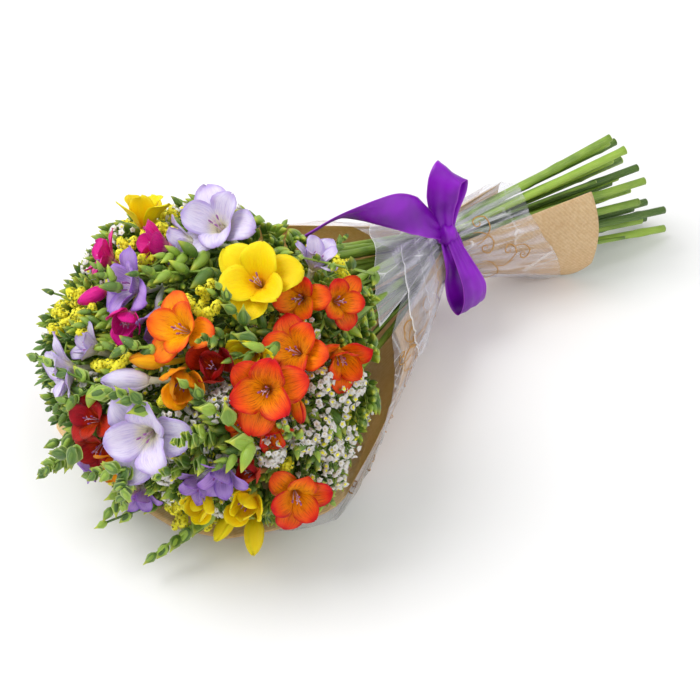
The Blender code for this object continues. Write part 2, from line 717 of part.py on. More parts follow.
PAPER_LIP = [
    (60, 99), (75, 40), (127, 60), (135, 90), (180, 101), (199, 116), (215, 150), (230, 205), (245, 246),
    (260, 266), (276, 276), (297, 272), (330, 238), (360, 190), (380, 158), (402, 128), (420, 102), (435, 80),
]
PAPER_TAIL = [
    (60, -50), (120, -92), (135, -101), (180, -103), (210, -104), (240, -93), (255, -80), (270, -72),
    (330, -70), (400, -62), (420, -52), (435, -50),
]
FILM_LIP = [
    (0, 150), (30, 110), (60, 62), (75, 58), (97, 56), (120, 62), (135, 96), (180, 130), (200, 152),
    (215, 178), (228, 208), (238, 222), (250, 234), (262, 246), (276, 256), (300, 248), (330, 210), (360, 150),
]
FILM_TAIL = [
    (0, -44), (60, -52), (90, -60), (130, -56), (165, -62), (195, -74), (225, -84), (240, -86), (255, -76),
    (276, -62), (330, -50), (360, -44),
]
BARE_FROM = 420
LEAST_LIP = 3.0


def lips_at(degrees):
    """The ends of the paper and of the film at this angle, at the tail and at the head."""
    paper_degrees = degrees % 360 if degrees % 360 >= 135 else degrees % 360 + 360
    film = blend(FILM_TAIL, degrees % 360), blend(FILM_LIP, degrees % 360)
    if paper_degrees > BARE_FROM:
        return film, film
    return (blend(PAPER_TAIL, paper_degrees), blend(PAPER_LIP, paper_degrees)), film


def cone_rows(degrees, own):
    """The rows that the two sheets share at this angle, and a sheet's own end where it reaches further."""
    both = lips_at(degrees)
    tail = max(ends[0] for ends in both)
    lip = min(ends[1] for ends in both)
    rows = [tail, -TIE_HALF, TIE_HALF] + [TIE_HALF + (lip - TIE_HALF) * part for part in (0.33, 0.67, 1.0)]
    before = [both[own][0]] if both[own][0] < tail - LEAST_LIP else []
    after = [both[own][1]] if both[own][1] > lip + LEAST_LIP else []
    return before, rows, after


def cone_normal(degrees, distance):
    """The direction into the cone, square to its surface."""
    step = 1.5
    around = cone_point(degrees + step, distance) - cone_point(degrees - step, distance)
    onward = cone_point(degrees, distance + step) - cone_point(degrees, distance - step)
    inward = unit(np.cross(onward, around))
    if (cone_point(degrees, distance) - cone_axis(distance)) @ inward > 0:
        inward = -inward
    return inward


def rolled_sheet(columns, closed, own, outer_inset, thickness):
    """A sheet on the cone: rows of points for each column, outside and inside, and walls round its edge."""
    outer, inner, starts, befores, afters = [], [], [], [], []
    for degrees in columns:
        before, rows, after = cone_rows(degrees, own)
        starts.append(len(outer) + len(before))
        befores.append(len(before))
        afters.append(len(after))
        for distance in before + rows + after:
            point = cone_point(degrees, distance)
            inward = cone_normal(degrees, distance)
            outer.append(point + outer_inset * inward)
            inner.append(point + (outer_inset + thickness) * inward)
    points = np.array(outer + inner)
    under = len(outer)
    count = len(columns)
    shared = len(rows)
    faces = []

    def skin(*corners):
        faces.extend(joined_faces([corners]) if len(corners) == 4 else [corners])
        turned = tuple(under + corner for corner in (corners[0],) + corners[:0:-1])
        faces.extend(joined_faces([turned]) if len(turned) == 4 else [turned])

    def wall(first, second):
        faces.extend(joined_faces([(first, second, under + second, under + first)]))

    for i in range(count if closed else count - 1):
        a, b = starts[i], starts[(i + 1) % count]
        for j in range(shared - 1):
            skin(a + j, a + j + 1, b + j + 1, b + j)
        past_a, past_b = afters[i], afters[(i + 1) % count]
        end = shared - 1
        if past_a and past_b:
            skin(a + end, a + end + 1, b + end + 1, b + end)
        elif past_a:
            skin(a + end, a + end + 1, b + end)
        elif past_b:
            skin(a + end, b + end + 1, b + end)
        wall(b + end + past_b, a + end + past_a)
        past_a, past_b = befores[i], befores[(i + 1) % count]
        if past_a and past_b:
            skin(a - 1, a, b, b - 1)
        elif past_a:
            skin(a - 1, a, b)
        elif past_b:
            skin(a, b, b - 1)
        wall(a - past_a, b - past_b)
    if not closed:
        first, last = starts[0], starts[-1]
        for j in range(-befores[0], shared - 1 + afters[0]):
            wall(first + j + 1, first + j)
        for j in range(-befores[-1], shared - 1 + afters[-1]):
            wall(last + j, last + j + 1)
    return outward(Solid(points, faces))


# Strands: stems, twigs and sprigs as chains of points that ease apart

class Strand:
    """A chain of control points with their radii. Held points stay where they are."""

    def __init__(self, owner, control, radius, held, walled=False):
        self.owner = owner
        self.control = np.array(control, float)
        self.radii = np.broadcast_to(np.asarray(radius, float), (len(self.control),))
        self.free = np.ones(len(self.control))
        self.free[list(held)] = 0.0
        self.walled = walled
        rows = []
        spacing = 4.0
        for i in range(len(self.control) - 1):
            count = max(1, math.ceil(np.linalg.norm(self.control[i + 1] - self.control[i]) / spacing))
            for k in range(count):
                row = np.zeros(len(self.control))
                row[i] = 1 - k / count
                row[i + 1] = k / count
                rows.append(row)
        end = np.zeros(len(self.control))
        end[-1] = 1.0
        rows.append(end)
        self.weights = np.array(rows)


def near_pairs(points, owners, reach):
    first, second = [], []
    for start in range(0, len(points), 400):
        block = points[start:start + 400]
        gaps = np.linalg.norm(block[:, None] - points[None], axis=2)
        a, b = np.nonzero(gaps < reach)
        a = a + start
        keep = (a < b) & (owners[a] != owners[b])
        first.append(a[keep])
        second.append(b[keep])
    return np.concatenate(first), np.concatenate(second)


def wall_moves(points):
    """Moves that bring points back inside the cone, clear of its walls."""
    moves = np.zeros_like(points)
    for i, point in enumerate(points):
        distance = (point - NECK) @ unit(CONE_AHEAD)
        if distance < WALLED_FROM or distance > WALLED_TO:
            continue
        middle = cone_axis(distance)
        offset = point - middle
        across = offset @ cone_side(distance)
        if offset[2] > 0 and distance > (OPEN_SIDE_FROM if across < 0 else OPEN_TOP_FROM):
            continue
        degrees = math.degrees(math.atan2(offset[2], across)) % 360
        wall = cone_point(degrees, distance) - middle
        reach = np.linalg.norm(wall)
        allowed = reach - WALL_ROOM
        size = np.linalg.norm(offset)
        if size > allowed:
            moves[i] = -(size - allowed) / size * offset
    return moves


def ease_apart(strands, rounds=70):
    """Push strands of different owners apart until each pair has its gap."""
    owners = np.concatenate([np.full(len(strand.weights), strand.owner) for strand in strands])
    radii = np.concatenate([strand.weights @ strand.radii for strand in strands])
    for turn in range(rounds):
        points = np.concatenate([strand.weights @ strand.control for strand in strands])
        if turn % 10 == 0:
            a, b = near_pairs(points, owners, EASE_REACH)
            walls = np.zeros_like(points)
            start = 0
            for strand in strands:
                count = len(strand.weights)
                if strand.walled:
                    walls[start:start + count] = wall_moves(points[start:start + count])
                start += count
        apart = points[a] - points[b]
        distance = np.linalg.norm(apart, axis=1)
        short = np.maximum(radii[a] + radii[b] + STEM_GAP - distance, 0.0)
        push = (0.5 * short / np.maximum(distance, 0.01))[:, None] * apart
        moves = np.zeros_like(points)
        for axis in range(3):
            moves[:, axis] += np.bincount(a, push[:, axis], len(points))
            moves[:, axis] -= np.bincount(b, push[:, axis], len(points))
        moves += WALL_STEP * walls
        low = np.maximum(radii + TABLE_GAP + 0.2 - points[:, 2], 0.0)
        moves[:, 2] += low
        moved = (np.abs(moves).sum(axis=1) > 1e-9).astype(float)
        start = 0
        for strand in strands:
            count = len(strand.weights)
            part = strand.weights.T
            shift = part @ moves[start:start + count]
            share = part @ moved[start:start + count]
            strand.control += strand.free[:, None] * EASE_STEP * shift / (share[:, None] + 0.15)
            bend = np.zeros_like(strand.control)
            bend[1:-1] = strand.control[:-2] + strand.control[2:] - 2 * strand.control[1:-1]
            strand.control += strand.free[:, None] * BEND_STEP * bend
            start += count


def neck_slots(count):
    """Places for the stems in the tie: the innermost of a hexagonal packing."""
    places = []
    for row in range(-4, 5):
        for column in range(-5, 6):
            places.append(((column + 0.5 * (row % 2)) * SLOT_SPACING, row * SLOT_SPACING * math.sqrt(0.75)))
    places.sort(key=lambda place: (round(math.hypot(*place), 3), round(math.atan2(place[1], place[0]), 3)))
    return np.array(places[:count])


def matched_slots(directions):
    """Each stem's slot, so that no two stems need to cross on their way to their heads."""
    slots = neck_slots(len(directions))
    order = list(range(len(directions)))
    swapped = True
    while swapped:
        swapped = False
        for i in range(len(order)):
            for j in range(i):
                gain = (slots[order[i]] - slots[order[j]]) @ (directions[i] - directions[j])
                if gain < -1e-9:
                    order[i], order[j] = order[j], order[i]
                    swapped = True
    return slots[order]


def body_base(body):
    """The point that a body's flower tubes grow from, and the direction in which they leave it."""
    centre = np.mean([bloom.centre for bloom in body.blooms], axis=0)
    facing = unit(np.mean([unit(bloom.facing) for bloom in body.blooms], axis=0))
    longest = max(bloom.size for bloom in body.blooms)
    base = centre - (14.0 + 0.45 * longest) * facing
    return base, unit(centre - base)


def fork_of(stem):
    bases = [body_base(body) for body in stem.bodies]
    middle = np.mean([base for base, _ in bases], axis=0)
    leaving = np.mean([direction for _, direction in bases], axis=0)
    return middle - 9.0 * leaving + 15.0 * unit(NECK + 12.0 * BUNDLE_AXIS - middle)


def spray_fork(spray):
    middle = np.mean(spray.clusters, axis=0)
    return middle - 30.0 * dome_normal(middle) + 12.0 * unit(NECK - middle)


def long_stem(owner, slot, fork, radius, number):
    """A stem from its cut end through the tie to its fork."""
    passing = NECK + slot[0] * ACROSS_BUNDLE + slot[1] * UP_BUNDLE
    raised = slot[1] > 14.0
    cos, sin = math.cos(TAIL_TWIST), math.sin(TAIL_TWIST)
    fanned = cos * slot[0] - sin * slot[1], sin * slot[0] + cos * slot[1]
    end = TAIL_CENTRE + np.array([0.0, TAIL_FAN[0] * fanned[0], TAIL_FAN[1] * fanned[1]])
    end[0] += TAIL_LEAN * (end[2] - TAIL_CENTRE[2]) + TAIL_STAGGER * math.sin(2.4 * number)
    if radius < STEM_RADIUS:
        end = passing + (end - passing) * TAIL_FILLER
    if raised:
        end += np.array([-10.0, 4.0, 14.0])
    end[2] = max(end[2], TAIL_LOWEST)
    along = -BUNDLE_AXIS
    before = passing + 12.0 * along
    after = passing - 12.0 * along
    bow = TAIL_BOW * np.array([0.0, math.sin(1.7 * number), math.cos(2.3 * number)])
    control = [end, 0.3 * before + 0.7 * end - bow, 0.65 * before + 0.35 * end + bow, before, after]
    for part in (0.33, 0.66):
        control.append(after + part * (fork - after))
    control.append(fork)
    thickness = radius if radius < STEM_RADIUS else CUT_RADIUS
    radii = [thickness, thickness, 0.5 * (thickness + radius)] + [radius] * 5
    return Strand(owner, control, radii, held=(0, 3, 4, 7), walled=True)


def twig(owner, fork, base, leaving):
    """The last stretch of a stem, from its fork to just under a flower's base."""
    middle = 0.5 * (fork + base - 9.0 * leaving)
    control = [fork, middle, base - 5.0 * leaving, base - FINGER_GAP * leaving]
    return Strand(owner, control, TWIG_RADIUS, held=(0, 2, 3))


def sprig_strand(owner, fork, sprig):
    run = sprig.tip - sprig.start
    before = sprig.start - 0.3 * run - 8.0 * dome_normal(sprig.start)
    middle = 0.5 * (sprig.start + sprig.tip) + 2.5 * dome_normal(sprig.start)
    return Strand(owner, [fork, before, sprig.start, middle, sprig.tip], SPRIG_ROOM, held=(0,))


def branched(control, stem, back):
    """A twig's control points with its root moved into its stem, this far back from the stem's end."""
    root = stem[-1] + back * unit(stem[-2] - stem[-1])
    return np.concatenate([[root], control[1:]])


def flower_paths(body):
    """The middles of a body's flower tubes. The first grows from the base, the others from the first."""
    base, leaving = body_base(body)
    bends = [bloom.centre - BEND_BELOW * unit(bloom.facing) for bloom in body.blooms]
    paths = []
    for number, bloom in enumerate(body.blooms):
        root = base if number == 0 else base + (0.12 + 0.06 * number) * (bends[0] - base)
        paths.append(np.array([root, bends[number], bloom.centre]))
    return paths


# Blender objects

def material(name, colour, roughness, alpha=1.0):
    made = bpy.data.materials.new(name)
    made.use_nodes = True
    shader = made.node_tree.nodes["Principled BSDF"]
    shader.inputs["Base Color"].default_value = (*colour, 1.0)
    shader.inputs["Roughness"].default_value = roughness
    shader.inputs["Metallic"].default_value = 0.0
    shader.inputs["Alpha"].default_value = alpha
    return made


def mesh_object(name, solid):
    mesh = bpy.data.meshes.new(name)
    mesh.from_pydata((solid.points * METRES).tolist(), [], solid.faces)
    mesh.validate()
    return bpy.data.objects.new(name, mesh)


def largest_body(mesh):
    """Drop loose scraps and the walls of sealed hollows, which are bodies of their own."""
    shape = bmesh.new()
    shape.from_mesh(mesh)
    unseen = set(shape.verts)
    groups = []
    while unseen:
        stack = [unseen.pop()]
        group = []
        while stack:
            vertex = stack.pop()
            group.append(vertex)
            for edge in vertex.link_edges:
                other = edge.other_vert(vertex)
                if other in unseen:
                    unseen.discard(other)
                    stack.append(other)
        groups.append(group)
    groups.sort(key=len)
    loose = [vertex for group in groups[:-1] for vertex in group]
    bmesh.ops.delete(shape, geom=loose, context="VERTS")
    bmesh.ops.triangulate(shape, faces=shape.faces)
    shape.to_mesh(mesh)
    shape.free()


def fused(name, solids, finish):
    """One object from a node's solids, joined by a Boolean union on a collection."""
    result = mesh_object(name, solids[0])
    bpy.context.scene.collection.objects.link(result)
    if len(solids) > 1:
        parts = bpy.data.collections.new(name + "_parts")
        for solid in solids[1:]:
            parts.objects.link(mesh_object(name + "_part", solid))
        union = result.modifiers.new("union", "BOOLEAN")
        union.operation = "UNION"
        union.operand_type = "COLLECTION"
        union.collection = parts
        union.solver = "MANIFOLD"
        depsgraph = bpy.context.evaluated_depsgraph_get()
        joined = bpy.data.meshes.new_from_object(result.evaluated_get(depsgraph))
        result.modifiers.clear()
        rough = result.data
        result.data = joined
        bpy.data.meshes.remove(rough)
        for part in list(parts.objects):
            bpy.data.objects.remove(part)
        bpy.data.collections.remove(parts)
        largest_body(joined)
    result.data.name = name
    result.data.materials.clear()
    result.data.materials.append(finish)
    return result


# The pieces of each node

def first_clear(room, owner, choices):
    for solid in choices:
        if room.is_clear(owner, solid):
            room.add(owner, solid)
            return [solid]
    return []


# Ways to set a petal, best first: how much further it opens, its share of the length and its turn
PETAL_CHOICES = [
    (0, 1.0, 0), (-10, 1.0, 0), (8, 1.0, 0), (0, 1.0, 9), (0, 1.0, -9), (-18, 1.0, 0),
    (-10, 1.0, 10), (-10, 1.0, -10), (16, 1.0, 0), (-28, 0.95, 0), (0, 0.85, 0), (-20, 0.85, 9),
    (-20, 0.85, -9), (-38, 0.9, 0), (10, 0.78, 0), (-30, 0.75, 0), (-50, 0.8, 0), (-50, 0.65, 0),
]


def flower_of(room, owner, bloom, path, base_axis, base_radius):
    """The solids of one flower: its tube with petals, or a closed flower on its tube."""
    axis = unit(bloom.facing)
    if bloom.kind == "closed":
        choices = []
        for reach in (1.0, 0.85, 0.7, 0.5):
            length = reach * bloom.size
            tip = bloom.centre + length * axis
            choices.append(spindle(bloom.centre - 3.0 * axis, tip, 0.27 * length, 6, (0.3, 0.72)))
        found = first_clear(room, owner, choices)
        return [corolla(bloom, path, base_axis, base_radius, [None] * 6)] + found
    petals = [None] * 6
    blades = Room()
    for number in (0, 2, 4, 1, 3, 5):
        for choice in PETAL_CHOICES:
            solid = petal_solid(bloom, number, choice)
            blade = petal_blade(solid)
            if room.is_clear(owner, solid) and blades.is_clear("petal", blade, gap=0.02):
                petals[number] = solid
                room.add(owner, solid)
                blades.add("other", blade)
                break
    return [corolla(bloom, path, base_axis, base_radius, petals)]


def easy_path(room, owner, control, radii, sides):
    """A branch, moved a little to one side where its own place is taken. Its root stays in its stem."""
    share = np.concatenate([[0.0], np.linspace(0.7, 1.0, len(control) - 1)])[:, None]
    moves = [np.zeros(3)]
    for reach in (2.5, 5.0, 8.0):
        for way in np.ndindex(3, 3, 3):
            if way != (1, 1, 1):
                moves.append(reach * unit(np.array(way) - 1.0))
    for move in moves:
        moved = control + share * move
        solid = tube(moved, radii, sides)
        if room.is_clear(owner, solid):
            room.add(owner, solid)
            return moved, [solid]
    return control, []


# Ways to set a bud, best first: the side it leans to and its share of the length
BUD_WIDTH = 0.25
BUD_CHOICES = [(1, 1.0), (1, 0.85), (-1, 1.0), (-1, 0.85), (1, 0.7), (-1, 0.7)]


def buds_of(room, owner, sprig, control):
    """Buds in two rows, shorter towards the tip, and one at the tip."""
    found = []
    path = control[-3:]
    for number in range(sprig.buds):
        part = number / max(sprig.buds - 1, 1)
        spot = 2 * part * 0.999
        whole = int(spot)
        along = unit(path[whole + 1] - path[whole])
        base = path[whole] + (spot - whole) * (path[whole + 1] - path[whole])
        outwards = dome_normal(base)
        outwards = unit(outwards - (outwards @ along) * along)
        aside = np.cross(along, outwards)
        length = sprig.length * (1.0 - 0.4 * part)
        last = number == sprig.buds - 1
        choices = []
        for side, reach in BUD_CHOICES:
            way = side * (1 if number % 2 else -1)
            spread, lift = (0.0, 0.1) if last else (0.62 * way, 0.4)
            direction = unit(along + spread * aside + lift * outwards)
            tip = base + length * reach * direction
            choices.append(spindle(base - 0.2 * direction, tip, BUD_WIDTH * length * reach))
        found += first_clear(room, owner, choices)
    return found


# Florets of a cluster: how far back along the twig, how far they lean out and their turn round it
FLORET_PLACES = ((0.5, 0, 0), (1.4, 66, 0), (2.6, 66, 180))
FLORET_SIZE = {"statice": 5.6, "solidago": 5.8}


def florets_of(room, owner, kind, path, number):
    """A cluster of florets: one at the end of a twig, the others round its side."""
    found = []
    end = path[-1]
    along = unit(path[-1] - path[-2])
    _, first, second = ring_frames([path[-2], path[-1]])
    for back, lean, turn in FLORET_PLACES:
        angle = math.radians(turn + 97 * number)
        lean = math.radians(lean)
        side = math.cos(angle) * first[0] + math.sin(angle) * second[0]
        direction = math.cos(lean) * along + math.sin(lean) * side
        base = end - back * along
        found += first_clear(room, owner, [
            floret(base, direction, FLORET_SIZE[kind] * size, kind) for size in (1.0, 0.85, 0.7)
        ])
    return found


# Binding and ribbon

def ring_band(radius, thickness, width, segments):
    """A flat band round the tie, its section a rectangle."""
    angles = np.arange(segments) * 2 * math.pi / segments
    spokes = np.cos(angles)[:, None] * ACROSS_BUNDLE + np.sin(angles)[:, None] * UP_BUNDLE
    spokes = spokes / math.cos(math.pi / segments)
    half = 0.5 * width * BUNDLE_AXIS
    rings = [
        NECK + radius * spokes - half, NECK + radius * spokes + half,
        NECK + (radius + thickness) * spokes + half, NECK + (radius + thickness) * spokes - half,
    ]
    quads = []
    for ring in range(4):
        for k in range(segments):
            a, b = ring * segments + k, ring * segments + (k + 1) % segments
            c, d = (ring + 1) % 4 * segments + (k + 1) % segments, (ring + 1) % 4 * segments + k
            quads.append((a, b, c, d))
    return outward(Solid(np.concatenate(rings), joined_faces(quads)))


def string_binding():
    """Two turns of string, pressed together into one ring with two ridges."""
    segments = 15
    angles = np.arange(segments) * 2 * math.pi / segments
    spokes = np.cos(angles)[:, None] * ACROSS_BUNDLE + np.sin(angles)[:, None] * UP_BUNDLE
    section = [(-0.5, -1.8), (-0.5, 1.8), (1.0, 1.0), (0.4, 0.0), (1.0, -1.0)]
    rings = []
    for rise, shift in section:
        radius = STRING_RING + rise * STRING_RADIUS
        rings.append(NECK + radius * spokes + shift * STRING_RADIUS * BUNDLE_AXIS)
    count = len(section)
    quads = [
        (ring * segments + k, ring * segments + (k + 1) % segments,
         (ring + 1) % count * segments + (k + 1) % segments, (ring + 1) % count * segments + k)
        for ring in range(count)
        for k in range(segments)
    ]
    return outward(Solid(np.concatenate(rings), joined_faces(quads)))


def ribbon_strip(path, widths, broad, steps):
    """A strip of satin: its path, widths and the directions across it, smoothed between the points."""
    path = smooth_path(path, steps)
    broad = smooth_path(broad, steps)
    widths = np.interp(np.linspace(0, 1, len(path)), np.linspace(0, 1, len(widths)), widths)
    tangents = np.gradient(path, axis=0)
    points = []
    for centre, width, across, tangent in zip(path, widths, broad, tangents):
        tangent = unit(tangent)
        across = unit(across - (across @ tangent) * tangent)
        up = np.cross(tangent, across) * RIBBON_THICK / 2
        side = across * width / 2
        points += [centre - side - up, centre + side - up, centre + side + up, centre - side + up]
    quads = [
        (4 * i + k, 4 * i + (k + 1) % 4, 4 * (i + 1) + (k + 1) % 4, 4 * (i + 1) + k)
        for i in range(len(path) - 1)
        for k in range(4)
    ]
    last = 4 * (len(path) - 1)
    quads += [(3, 2, 1, 0), (last, last + 1, last + 2, last + 3)]
    return outward(Solid(np.array(points), joined_faces(quads)))


def smooth_path(points, steps):
    """Points along a smooth curve through the given ones."""
    points = np.asarray(points, float)
    ends = np.concatenate([[2 * points[0] - points[1]], points, [2 * points[-1] - points[-2]]])
    result = []
    for place in np.linspace(0, len(points) - 1, steps):
        i = min(int(place), len(points) - 2)
        t = place - i
        a, b, c, d = ends[i:i + 4]
        result.append(0.5 * (2 * b + (c - a) * t + (2 * a - 5 * b + 4 * c - d) * t * t
                             + (3 * b - a - 3 * c + d) * t ** 3))
    return np.array(result)


# Paths, widths and directions across, all from inside the knot
RIBBON_STRIPS = [
    # The long tail that arches over the flowers
    ([KNOT, (129, 11, 92), (116, 9, 106), (100, 9, 117), (80, 10, 124), (60, 14, 124), (41, 21, 112)],
     (9, 20, 25, 24, 22, 18, 10),
     [(0, 0.6, 0.8), (0.2, 0.6, 0.7), (0.2, 0.5, 0.8), (0.1, 0.2, 0.9), (0, -0.3, 0.9),
      (-0.2, -0.6, 0.7), (-0.3, -0.6, 0.6)],
     10),
    # The loop that stands up from the knot
    ([(141.2, 8.9, 79), (140.8, 14.3, 92), (140.4, 14.6, 106), (142.5, 16.1, 118), (147.7, 19.1, 122.5),
      (153, 22.3, 117), (153.1, 21.4, 105), (148.6, 18.6, 91), (144.2, 13, 79)],
     (9, 16, 21, 22, 22, 22, 19, 14, 9),
     [(0.87, -0.5, 0), (0.86, -0.5, 0), (0.8, -0.58, -0.1), (0.62, -0.7, -0.3), (0.42, -0.78, -0.47),
      (0.5, -0.75, -0.4), (0.7, -0.68, -0.15), (0.85, -0.52, 0), (0.87, -0.5, 0)],
     13),
    # The loop that hangs down in front of the tie
    ([(141.5, 9, 74), (141, -3, 64), (142, -4.5, 50), (144, -5.5, 37), (146, -9, 28), (147, -15, 27),
      (148, -19, 35), (148, -19, 48), (145, -13, 63), (143.5, 6, 78)],
     (9, 16, 20, 21, 20, 20, 20, 19, 14, 8),
     [(0.98, 0.1, 0.1)] * 10,
     14),
]


def ribbon_solids():
    knot_axis = 8.0 * unit([-0.95, 0.15, -0.1])
    strips = [ribbon_strip(*strip) for strip in RIBBON_STRIPS]
    knot = spindle(KNOT - knot_axis, KNOT + knot_axis, KNOT_RADIUS, 6, (0.4, 0.75))
    band = ring_band(BAND_RADIUS, RIBBON_THICK, BAND_WIDTH, 16)
    return [band, knot] + strips


# The whole bouquet

def build():
    for old in list(bpy.data.objects):
        bpy.data.objects.remove(old)
    room = Room()
    green = material("stem_green", STEM_GREEN, 0.5)

    every = [15 * k for k in range(24)]
    film = rolled_sheet(every, True, 1, 0.0, FILM_THICK)
    paper = rolled_sheet(range(135, BARE_FROM + 1, 15), False, 0, FILM_THICK + SHEET_GAP, PAPER_THICK)
    string = string_binding()
    ribbon = ribbon_solids()
    for owner, solids in (("clear_film", [film]), ("kraft_wrap", [paper]), ("stem_binding", [string]),
                          ("ribbon", ribbon)):
        for solid in solids:
            room.add(owner, solid)
    fused("clear_film", [film], material("clear_film", FILM_CLEAR, 0.1, 0.35))
    fused("kraft_wrap", [paper], material("kraft_paper", KRAFT, 0.8))
    fused("stem_binding", [string], material("jute_string", STRING_TAN, 0.9))
    fused("ribbon", ribbon, material("purple_satin", SATIN_PURPLE, 0.3))

    forks = [fork_of(stem) for stem in STEMS] + [spray_fork(spray) for spray in SPRAYS]
    directions = []
    for fork in forks:
        offset = fork - NECK
        ahead = offset @ BUNDLE_AXIS
        directions.append((offset @ ACROSS_BUNDLE / ahead, offset @ UP_BUNDLE / ahead))
    slots = matched_slots(np.array(directions))
    for number, plant in enumerate(STEMS):
        slots[number] += PRESSED.get(plant.name, 0.0)
    strands = []
    mains = {}
    twigs = {}
    sprigs = {}
    for number, plant in enumerate(STEMS + SPRAYS):
        filler = number >= len(STEMS)
        radius = FILLER_RADIUS if filler else STEM_RADIUS
        mains[number] = long_stem(number, slots[number], forks[number], radius, number)
        strands.append(mains[number])
        twigs[number] = []
        if filler:
            for spot in plant.clusters:
                middle = 0.5 * (forks[number] + spot) - 4.0 * dome_normal(spot)
                twigs[number].append(Strand(number, [forks[number], middle, spot], TWIG_RADIUS, (0,)))
            strands += twigs[number]
            continue
        twigs[number] = [twig(number, forks[number], *body_base(body)) for body in plant.bodies]
        sprigs[number] = [sprig_strand(number, forks[number], sprig) for sprig in plant.sprigs]
        strands += twigs[number] + sprigs[number]
        for body in plant.bodies:
            for path in flower_paths(body):
                strands.append(Strand(number, path, FLOWER_TUBE_ROOM, range(len(path))))
            for bloom in body.blooms:
                reach = 0.5 * bloom.size * unit(bloom.facing)
                strands.append(Strand(number, [bloom.centre, bloom.centre + reach], FLOWER_ROOM, (0, 1)))
    ease_apart(strands)

    solids = {}
    for number, plant in enumerate(STEMS + SPRAYS):
        main = mains[number].control
        solids[number] = [tube(main, mains[number].radii, 4 if number >= len(STEMS) else 5)]
        if number < len(STEMS):
            for count, strand in enumerate(twigs[number]):
                control = branched(strand.control, main, 2.0 + BRANCH_STEP * count)
                solids[number].append(tube(control, (1.3, 1.45, 1.35, 1.35), 4))
        for solid in solids[number]:
            room.add(plant.name, solid)
    body_solids = {}
    for plant in STEMS:
        for body in plant.bodies:
            for number, path in enumerate(flower_paths(body)):
                solid = tube(path, (BASE_RADIUS, BEND_RADIUS, THROAT_RADIUS), 6)
                room.add("bloom_" + body.name + str(number), solid)
    shoots = {}
    for number, plant in enumerate(STEMS + SPRAYS):
        main = mains[number].control
        filler = number >= len(STEMS)
        shoots[number] = []
        for count, strand in enumerate(twigs[number] if filler else sprigs[number]):
            back = 2.0 + BRANCH_STEP * (count + (0 if filler else len(twigs[number])))
            radii = (0.75, 0.9, 0.7) if filler else (1.2, 1.35, 1.2, 1.05, 0.8)
            control, found = easy_path(room, plant.name, branched(strand.control, main, back), radii, 3)
            shoots[number].append(control if found else None)
            solids[number] += found
    for plant in STEMS:
        for body in plant.bodies:
            owner = "bloom_" + body.name
            _, leaving = body_base(body)
            body_solids[owner] = []
            for number, (bloom, path) in enumerate(zip(body.blooms, flower_paths(body))):
                base_radius = BASE_RADIUS if number == 0 else SIDE_BASE_RADIUS
                body_solids[owner] += flower_of(room, owner + str(number), bloom, path, leaving, base_radius)
    for number, plant in enumerate(STEMS):
        for sprig, control in zip(plant.sprigs, shoots[number]):
            if control is not None:
                solids[number] += buds_of(room, plant.name, sprig, control)
    for number, plant in enumerate(SPRAYS, start=len(STEMS)):
        for count, control in enumerate(shoots[number]):
            if control is not None:
                solids[number] += florets_of(room, plant.name, plant.kind, control, count)

    for number, plant in enumerate(STEMS):
        fused("stem_" + plant.name, solids[number], green)
        for body in plant.bodies:
            owner = "bloom_" + body.name
            fused(owner, body_solids[owner], material("petals_" + body.name, body.colour, 0.55))
    for number, plant in enumerate(SPRAYS, start=len(STEMS)):
        colour = STATICE_WHITE if plant.kind == "statice" else SOLIDAGO_YELLOW
        fused("spray_" + plant.name, solids[number], material("florets_" + plant.name, colour, 0.8))


build()
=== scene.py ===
"""The looks of a freesia bouquet lying on a table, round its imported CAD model.

Lengths in this file are in millimetres and become metres when a mesh is made. +X runs along the
stems to their cut ends, +Z is up, and z = 0 is the table. The stems, blooms and sprays are set out
by the same rules as in the CAD, and each finer piece takes the choice that its CAD node shows.
"""

import math
from collections import namedtuple

import bpy
import numpy as np
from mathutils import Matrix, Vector, noise
from mathutils.bvhtree import BVHTree
from mathutils.kdtree import KDTree


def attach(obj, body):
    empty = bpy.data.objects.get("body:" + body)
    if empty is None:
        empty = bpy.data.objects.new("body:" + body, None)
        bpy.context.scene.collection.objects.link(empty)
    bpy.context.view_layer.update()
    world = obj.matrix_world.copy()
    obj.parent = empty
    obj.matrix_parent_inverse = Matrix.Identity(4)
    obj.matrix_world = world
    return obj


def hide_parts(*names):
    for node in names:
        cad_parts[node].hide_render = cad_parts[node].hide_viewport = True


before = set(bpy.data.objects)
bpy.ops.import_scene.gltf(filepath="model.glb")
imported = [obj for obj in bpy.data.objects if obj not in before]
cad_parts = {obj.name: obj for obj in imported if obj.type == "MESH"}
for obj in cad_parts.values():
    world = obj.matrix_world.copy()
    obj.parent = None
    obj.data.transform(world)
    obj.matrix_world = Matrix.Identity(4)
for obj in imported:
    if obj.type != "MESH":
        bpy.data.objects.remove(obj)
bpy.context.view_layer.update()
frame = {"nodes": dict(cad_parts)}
scene = bpy.context.scene

METRES = 0.001

# The tie, the middle of the cut ends and how the stems fan out to them
NECK = np.array([147.0, 25.0, 50.0])
TAIL_CENTRE = np.array([305.0, 14.0, 48.0])
TAIL_FAN = (1.7, 2.9)
TAIL_TWIST = math.radians(24.0)
TAIL_LEAN = -0.45
TAIL_LOWEST = 6.0
TAIL_BOW = 4.5
TAIL_STAGGER = 9.0
TAIL_FILLER = 0.86
SLOT_SPACING = 5.9

# Moves of single stems in the tie, which press them against a neighbour
PRESSED = {"yellow_top": np.array([0.66, -1.12])}

# The rounded mass of flowers: centre, half sizes along, across and up, pitch and yaw of its axis
DOME_CENTRE = np.array([-35.0, -12.0, 70.0])
DOME_HALF = np.array([110.0, 115.0, 88.0])
DOME_PITCH = math.radians(10.0)
DOME_YAW = math.radians(20.0)

